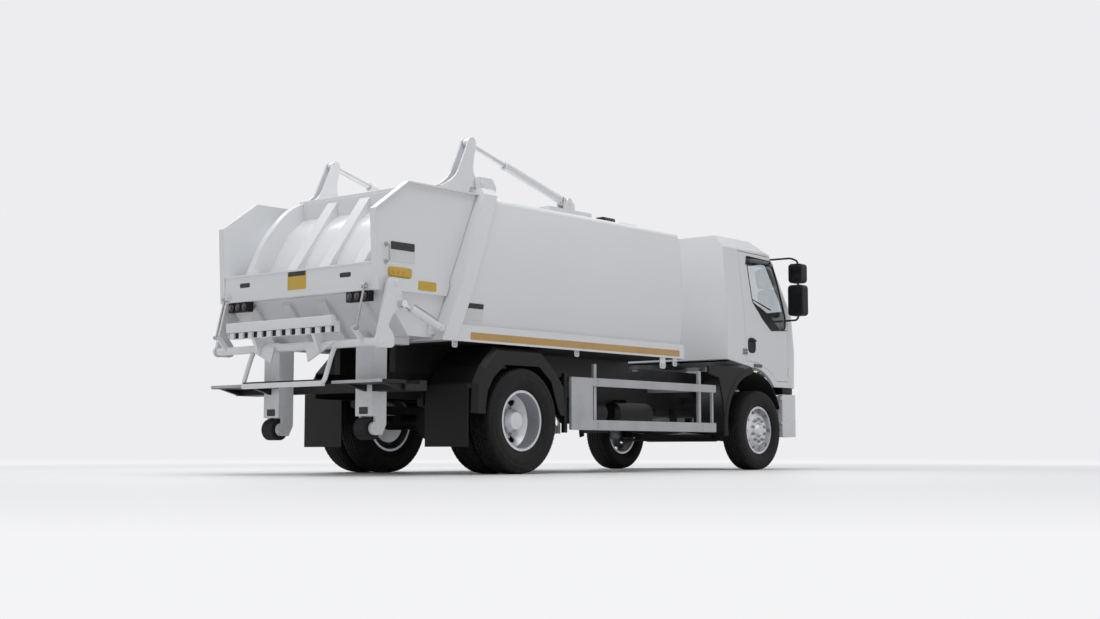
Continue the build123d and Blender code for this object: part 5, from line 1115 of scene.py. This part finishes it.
def makeScreenFittings():
    edge = [(-screen["halfLow"], screen["low"]), (screen["halfLow"], screen["low"]),
            (screen["halfHigh"], screen["high"]), (-screen["halfHigh"], screen["high"])]
    seal = bmesh.new()
    addTube(seal, [onScreen(y, z, -0.004) for y, z in spread(rounded(edge, 0.06))], 0.013, 8, True)
    piece("screenSeal", seal, "cab", softRubber)
    wipers = bmesh.new()
    for foot, tip, low, high in wiper["rows"]:
        addKnob(wipers, onScreen(foot, wiper["footZ"], -0.004), wiper["boss"], "x", 16)
        arm = ((foot, wiper["footZ"], 0.016), ((foot + tip) / 2, wiper["elbowZ"], 0.034),
               (tip, wiper["tipZ"], 0.026))
        addTube(wipers, [onScreen(*point) for point in arm], 0.007, 8)
        blade = [Vector(low).lerp(Vector(high), k / 8) for k in range(9)]
        addTube(wipers, [onScreen(y, z, 0.016) for y, z in blade], 0.008, 8)
    piece("wipers", wipers, "cab", blackPlastic)


makeScreenFittings()


roofMarker = dict(y=(-0.62, 0.62), z=2.735, form=(
    (0, -0.030), (0.030, -0.028), (0.034, 0.0), (0.026, 0.020), (0, 0.028)))


def makeCabLamps():
    bm = bmesh.new()
    for y in roofMarker["y"]:
        x = cabNoseX(y, roofMarker["z"])
        addKnob(bm, (x - 0.004, y, roofMarker["z"]), roofMarker["form"], "z", 20)
    piece("roofMarkers", bm, "cab", lampAmber)


makeCabLamps()
print("cab outside fitted")


# side guards, steps and fittings under the body

guard = dict(face=1.190, thick=0.036, rear=0.765, front=3.420, low=(0.440, 0.545), high=(0.895, 0.980),
             plate=0.355, posts=(1.180, 3.120), postWidth=0.046, rise=0.150, chassis=0.430,
             arm=(0.900, 0.955),
             bolt=((0, -0.002), (0.011, -0.002), (0.011, 0.002), (0.007, 0.006), (0, 0.007)))


def addBar(bm, side, x, y, z, corner=0.005):
    # a bar with eased edges between two places along each axis, x from the rear axle
    outline = rounded(rectangle(rearX + x[0], rearX + x[1], *z), corner, 2)
    addPrism(bm, outline, *sorted((side * y[0], side * y[1])))


def makeSideGuards():
    outer = guard["face"]
    inner = outer - guard["thick"]
    behind = (inner - guard["thick"], inner - 0.001)
    start = guard["rear"] + guard["plate"]
    for name, side in sides:
        bars, bolts = bmesh.new(), bmesh.new()
        addBar(bars, side, (guard["rear"], start), (inner, outer), (guard["low"][0], guard["high"][1]), 0.012)
        addBar(bars, side, (guard["front"] - 0.030, guard["front"]), (inner - 0.030, inner - 0.001),
               (guard["low"][0], guard["high"][1]))
        for low, high in (guard["low"], guard["high"]):
            addBar(bars, side, (start + 0.001, guard["front"]), (inner, outer), (low, high), 0.008)
        for x in guard["posts"]:
            ends = (x, x + guard["postWidth"])
            addBar(bars, side, ends, behind, (guard["low"][0] + 0.01, guard["high"][1] + guard["rise"]))
            addBar(bars, side, ends, (guard["chassis"], behind[0] - 0.001), guard["arm"])
            for low, high in (guard["low"], guard["high"]):
                for share in (0.28, 0.72):
                    spot = (rearX + x + guard["postWidth"] / 2, side * outer, low + share * (high - low))
                    addKnob(bolts, spot, mirrored(guard["bolt"], side), "y", 14)
        made = piece(f"sideGuard_{name}", bars, "chassis", guardGrey, 35, 0.003)
        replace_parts(made, "side_guards")
        piece(f"guardBolts_{name}", bolts, "chassis", boltSteel)


makeSideGuards()

rearStep = dict(rear=-1.920, front=-1.622, inner=0.545, outer=1.200, top=0.860, edge=0.020)
stepLug = dict(rows=7, columns=15, first=(0.045, 0.035), pitch=(0.038, 0.042), low=0.001, high=0.0045,
               form=((-0.013, 0), (0, -0.004), (0.013, 0), (0, 0.004)))    # along, across


def makeStepTreads():
    treads, edges = bmesh.new(), bmesh.new()
    rear, front, inner, outer, top, edge = rearStep.values()
    for _, side in sides:
        across = sorted((side * inner, side * (outer - 0.006)))
        plate = rounded(rectangle(rearX + rear + 0.022, rearX + front, *across), 0.01)
        addPrism(treads, plate, top - 0.001, top + 0.002, "z")
        for i in range(stepLug["rows"]):
            for j in range(stepLug["columns"]):
                # small raised bars, every other one turned
                x = rearX + rear + stepLug["first"][0] + i * stepLug["pitch"][0]
                y = side * (inner + stepLug["first"][1] + j * stepLug["pitch"][1])
                lean = math.radians(45 if (i + j) % 2 else -45)
                ahead = Vector((math.cos(lean), math.sin(lean)))
                aside = Vector((-ahead.y, ahead.x))
                ring = [tuple(Vector((x, y)) + ahead * a + aside * b) for a, b in stepLug["form"]]
                addPrism(treads, ring, top + stepLug["low"], top + stepLug["high"], "z")
        addBar(edges, side, (rear - 0.003, rear + edge), (inner - 0.003, outer),
               (top - 0.026, top + 0.003), 0.003)
    piece("stepTreads", treads, "tailgate", treadPlate)
    piece("stepEdges", edges, "tailgate", guardGrey, 35, 0.002)


makeStepTreads()

postPlate = dict(x=-1.620, y=0.650, half=0.055, z=(0.566, 0.626))


def makePostPlates():
    plates, rims = bmesh.new(), bmesh.new()
    x = rearX + postPlate["x"]
    for _, side in sides:
        y = side * postPlate["y"]
        outline = rounded(rectangle(y - postPlate["half"], y + postPlate["half"], *postPlate["z"]), 0.008)
        addPrism(plates, outline, x - 0.003, x + 0.001, "x")
        addTube(rims, [(x - 0.003, a, b) for a, b in outline], 0.0022, 6, True)
    piece("postPlates", plates, "tailgate", blackPlate)
    piece("postPlateRims", rims, "tailgate", blackPlastic)


makePostPlates()

skirtLugs = dict(
    y=1.186, plate=0.008, top=1.251, cut=0.014,
    bolt=((0, 0.001), (0.009, 0.001), (0.009, 0.009), (0.005, 0.012), (0, 0.012)),
    # x from and to, counted from the rear axle, lowest z
    rows=((-1.010, -0.938, 1.190), (0.815, 0.890, 1.188), (2.315, 2.420, 1.130), (2.560, 2.640, 1.165)))


def makeSkirtLugs():
    lugs, bolts = bmesh.new(), bmesh.new()
    top, cut = skirtLugs["top"], skirtLugs["cut"]
    for _, side in sides:
        y = side * skirtLugs["y"]
        for x0, x1, low in skirtLugs["rows"]:
            outline = fromAxle(((x0, top), (x1, top), (x1, low + cut), (x1 - cut, low), (x0 + cut, low),
                                (x0, low + cut)))
            addPrism(lugs, outline, y - skirtLugs["plate"] / 2, y + skirtLugs["plate"] / 2)
            for share in (0.3, 0.7):
                for rise in (0.020, 0.044):
                    spot = (rearX + x0 + share * (x1 - x0), y, low + rise)
                    addKnob(bolts, spot, mirrored(skirtLugs["bolt"], side), "y", 12)
    piece("skirtLugs", lugs, "chassis", white, 35, 0.0015)
    piece("skirtLugBolts", bolts, "chassis", boltSteel)


makeSkirtLugs()

hanger = dict(x=(0.700, 0.745), y=(1.105, 1.150), z=(0.410, 1.015), arm=(0.930, 0.980), chassis=0.430)


def makeHangers():
    # angle posts ahead of the rear wheels that carry the rear end of a guard
    bm = bmesh.new()
    for _, side in sides:
        x0, x1 = hanger["x"]
        addBar(bm, side, (x0, x1), (hanger["y"][1] - 0.006, hanger["y"][1]), hanger["z"])
        addBar(bm, side, (x0, x0 + 0.006), (hanger["y"][0], hanger["y"][1] - 0.007), hanger["z"], 0.002)
        addBar(bm, side, (x0 + 0.007, x1 + 0.030), (hanger["chassis"], hanger["y"][1] - 0.007), hanger["arm"])
    piece("guardHangers", bm, "chassis", blackMetal, 35, 0.0015)


makeHangers()

hoodLip = dict(radius=0.648, axisZ=0.540, y=1.082, start=97.0, end=192.0, half=0.042, section=(
    # share of the half width, how far it stands out
    (-1.0, -0.006), (-0.9, 0.010), (-0.4, 0.018), (0.4, 0.018), (0.9, 0.010), (1.0, -0.006)))


def addArch(bm, size, section, steps):
    # a closed section, in radius and y, carried round an arc over a front wheel
    rows = []
    for k in range(steps + 1):
        turn = math.radians(size["start"] + (size["end"] - size["start"]) * k / steps)
        rows.append([bm.verts.new((frontX + r * math.cos(turn), y, size["axisZ"] + r * math.sin(turn)))
                     for r, y in section])
    for one, two in zip(rows, rows[1:]):
        for k in range(len(section)):
            j = (k + 1) % len(section)
            bm.faces.new((one[k], one[j], two[j], two[k]))
    bm.faces.new(rows[0])
    bm.faces.new(rows[-1][::-1])


def makeHoodLips():
    for name, side in sides:
        bm = bmesh.new()
        section = [(hoodLip["radius"] + across * hoodLip["half"], side * (hoodLip["y"] + out))
                   for across, out in hoodLip["section"]]
        addArch(bm, hoodLip, section, 30)
        piece(f"hoodLip_{name}", bm, "chassis", blackPlastic, 50)


makeHoodLips()

arch = dict(radius=0.655, axisZ=0.515, start=20.0, end=104.0, y=(0.560, 1.050), plate=0.012)
bumperTop = dict(x=(0.720, 1.120), inner=0.700, z=(0.935, 1.012), inset=0.030, cabZ=1.020)


def makeArches():
    # dark liners over the front wheels, and the step between the cab and the bumper
    low, high = arch["radius"], arch["radius"] + arch["plate"]
    rear, front = bumperTop["x"]
    for name, side in sides:
        bm, step = bmesh.new(), bmesh.new()
        inner, outer = (side * y for y in arch["y"])
        addArch(bm, arch, ((low, inner), (low, outer), (high, outer), (high, inner)), 24)
        piece(f"archLiner_{name}", bm, "cab", blackPlastic, 40)
        edge = [rear + (front - rear) * k / 8 for k in range(9)]
        outline = [(frontX + x, side * (cabSideY(x, bumperTop["cabZ"]) - bumperTop["inset"])) for x in edge]
        outline += [(frontX + x, side * bumperTop["inner"]) for x in (front, rear)]
        addPrism(step, outline, *bumperTop["z"], "z")
        piece(f"bumperStep_{name}", step, "chassis", blackPlastic, 40, 0.003)


makeArches()

hatch = dict(x=(1.950, 2.300), y=(0.480, 0.900), z=(2.680, 2.738))


def makeHatch():
    bm = bmesh.new()
    addBar(bm, -1, hatch["x"], hatch["y"], hatch["z"], 0.012)
    piece("roofHatch", bm, "chassis", white, 35, 0.004)


makeHatch()

roofLamp = dict(x=(1.545, 1.775), y=(0.900, 0.990), z=(2.690, 2.742), lensZ=2.720,
                lens=((0, -0.002), (0.024, -0.002), (0.022, 0.006), (0.012, 0.011), (0, 0.012)))


def makeRoofLamps():
    bm, lens = bmesh.new(), bmesh.new()
    x0, x1 = roofLamp["x"]
    for _, side in sides:
        addBar(bm, side, roofLamp["x"], roofLamp["y"], roofLamp["z"], 0.014)
        for share in (0.25, 0.5, 0.75):
            spot = (rearX + x0 + share * (x1 - x0), side * roofLamp["y"][1], roofLamp["lensZ"])
            addKnob(lens, spot, mirrored(roofLamp["lens"], side), "y", 18)
    piece("roofLampCases", bm, "chassis", blackPlastic, 35, 0.004)
    piece("roofLampLenses", lens, "chassis", lampSmoke)


makeRoofLamps()
print("guards, steps and body fittings made")


# cab inside

seatLook = dict(x=-0.330, y=0.560, floor=1.290, power=4.0, grid=12, fill=0.7)
seatFoot = dict(
    x=(0.080, 0.450), half=0.180, stalkY=0.055, stalk=((-0.020, 0.860), (-0.014, 0.920)),
    # z from and to over the floor, how far each tier is set in
    tiers=((0.0, 0.020, 0.0), (0.020, 0.190, 0.030), (0.190, 0.242, -0.010)))
seatPads = (
    # name, middle from the seat's rear foot, half sizes, lean back in degrees, sewn channels across y
    ("cushion", (0.262, 0.300), (0.255, 0.235, 0.058), -4.0, (-0.115, 0.115)),
    ("back", (0.040, 0.612), (0.056, 0.226, 0.280), 8.0, (-0.115, 0.115)),
    ("rest", (-0.012, 0.972), (0.046, 0.126, 0.078), 6.0, ()),
)


def addPad(bm, centre, half, lean, channels, thin):
    # crowned closed form: a box grid drawn in to a rounded block, with grooves where it is sewn
    count = seatLook["grid"]
    tilt = math.radians(lean)
    verts = {}

    def place(grid):
        if grid not in verts:
            d = Vector([2 * g / count - 1 for g in grid])
            d /= sum(abs(a) ** seatLook["power"] for a in d) ** (1 / seatLook["power"])
            spot = Vector([a * b for a, b in zip(d, half)])
            for y in channels:
                groove = 0.16 * math.exp(-((spot.y - y) / 0.016) ** 2)
                spot[thin] *= 1 - groove
            edge = abs(d.y)
            spot[2 - thin] *= 1 - 0.035 * (1 - edge * edge)
            x = spot.x * math.cos(tilt) - spot.z * math.sin(tilt)
            z = spot.x * math.sin(tilt) + spot.z * math.cos(tilt)
            verts[grid] = bm.verts.new(Vector(centre) + Vector((x, spot.y, z)))
        return verts[grid]

    for axis in range(3):
        for end in (0, count):
            for i in range(count):
                for j in range(count):
                    ring = []
                    for a, b in ((i, j), (i + 1, j), (i + 1, j + 1), (i, j + 1)):
                        grid = [a, b]
                        grid.insert(axis, end)
                        ring.append(place(tuple(grid)))
                    bm.faces.new(ring)


def makeSeats():
    floor = seatLook["floor"]
    rear, front = seatFoot["x"]
    for name, side in sides:
        x0, y0 = frontX + seatLook["x"], side * seatLook["y"]
        for pad, (x, z), half, lean, channels in seatPads:
            bm = bmesh.new()
            thin = 2 if pad == "cushion" else 0
            addPad(bm, (x0 + x, y0, floor + z), half, lean, channels, thin)
            made = piece(f"seat_{pad}_{name}", bm, "cab", seatCloth, 80)
            made.modifiers.new("softer", "SUBSURF").render_levels = 1
            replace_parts(made, "cab_seats")
        base = bmesh.new()
        for low, high, inset in seatFoot["tiers"]:
            half = seatFoot["half"] - inset
            outline = rectangle(x0 + rear + inset, x0 + front - inset, y0 - half, y0 + half)
            addPrism(base, rounded(outline, 0.03), floor + low, floor + high, "z")
        for y in (y0 - seatFoot["stalkY"], y0 + seatFoot["stalkY"]):
            addTube(base, [(x0 + x, y, floor + z) for x, z in seatFoot["stalk"]], 0.007, 8)
        made = piece(f"seatBase_{name}", base, "cab", dashPlastic, 35, 0.004)
        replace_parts(made, "cab_seats")


makeSeats()
print("seats made")


# stage, light and camera

stageLook = dict(size=120.0, floor=(0.90, 0.902, 0.908, 1), haze=(0.847, 0.847, 0.863, 1),
                 glow=(0.915, 0.917, 0.930, 1), near=4.8, far=13.0, hazeNear=9.0, hazeFar=34.0)


def makeStage():
    bpy.ops.mesh.primitive_plane_add(size=stageLook["size"])
    floor = bpy.context.object
    floor.name = "floor"
    made = Finish("paleFloor", {"Specular IOR Level": 0.25})
    soft = made.noise(0.35, 3.0)
    paint = made.blend(soft, stageLook["floor"], shade(stageLook["floor"], 1.012))
    made.feed(base=paint, roughness=0.42 + 0.1 * soft)
    reach = made.node("VectorMath", {"operation": "LENGTH"}, {0: made.place}, 1)
    fade = reach.clamped(stageLook["hazeNear"], stageLook["hazeFar"])
    tone = made.blend(fade, stageLook["glow"], stageLook["haze"])
    glow = made.node("Emission", None, {"Color": tone, "Strength": 1.0})
    seen = made.node("LightPath", out="Is Camera Ray")
    share = reach.clamped(stageLook["near"], stageLook["far"]) * seen
    mixed = made.node("MixShader", None, {0: share, 1: Wire(made, made.shader.outputs[0]), 2: glow})
    made.link(made.tree.nodes["Material Output"].inputs["Surface"], mixed)
    floor.data.materials.append(made.material)


worldLook = dict(light=(0.97, 0.985, 1.0, 1), strength=0.40)


def makeWorld():
    world = bpy.data.worlds.new("studio")
    bpy.context.scene.world = world
    world.use_nodes = True
    studio = Nodes(world.node_tree)
    ambient = studio.tree.nodes["Background"]
    ambient.inputs["Color"].default_value = worldLook["light"]
    ambient.inputs["Strength"].default_value = worldLook["strength"]
    backdrop = studio.node("Background", None, {"Color": stageLook["haze"]})
    eye, gloss, through = [studio.node("LightPath", out=f"Is {ray} Ray")
                           for ray in ("Camera", "Glossy", "Transmission")]
    seen = eye.maths("MAXIMUM", gloss).maths("MAXIMUM", through)
    mixed = studio.node("MixShader", None, {0: seen, 1: Wire(studio, ambient.outputs[0]), 2: backdrop})
    studio.link(studio.tree.nodes["World Output"].inputs["Surface"], mixed)


lamps = (
    # name, place, point aimed at, width, depth, watts
    ("overhead", (-1.0, 0.5, 9.0), (0, 0, 0), 14.0, 9.0, 760.0),
    ("rearWindow", (-10.0, 1.5, 7.0), (-3.0, 0, 2.0), 4.0, 3.0, 45.0),
)


def makeLamps():
    for name, place, target, width, depth, watts in lamps:
        data = bpy.data.lights.new(name, "AREA")
        data.shape = "RECTANGLE"
        data.size = width
        data.size_y = depth
        data.energy = watts
        lamp = bpy.data.objects.new(name, data)
        bpy.context.scene.collection.objects.link(lamp)
        lamp.location = place
        lamp.rotation_euler = (Vector(target) - Vector(place)).to_track_quat("-Z", "Y").to_euler()


cameraFit = dict(fromRearAxle=(-11.376, -10.952, 0.223), yaw=39.613, pitch=5.299, lens=50.0, sensor=36.0)


def makeCamera():
    data = bpy.data.cameras.new("photoView")
    data.lens = cameraFit["lens"]
    data.sensor_width = cameraFit["sensor"]
    camera = bpy.data.objects.new("photoView", data)
    bpy.context.scene.collection.objects.link(camera)
    x, y, z = cameraFit["fromRearAxle"]
    camera.location = (rearX + x, y, z)
    camera.rotation_euler = (math.radians(90 + cameraFit["pitch"]), 0, math.radians(cameraFit["yaw"] - 90))
    bpy.context.scene.camera = camera


makeStage()
makeWorld()
makeLamps()
makeCamera()
bpy.context.scene.view_settings.view_transform = "Standard"
print("stage, light and camera set")
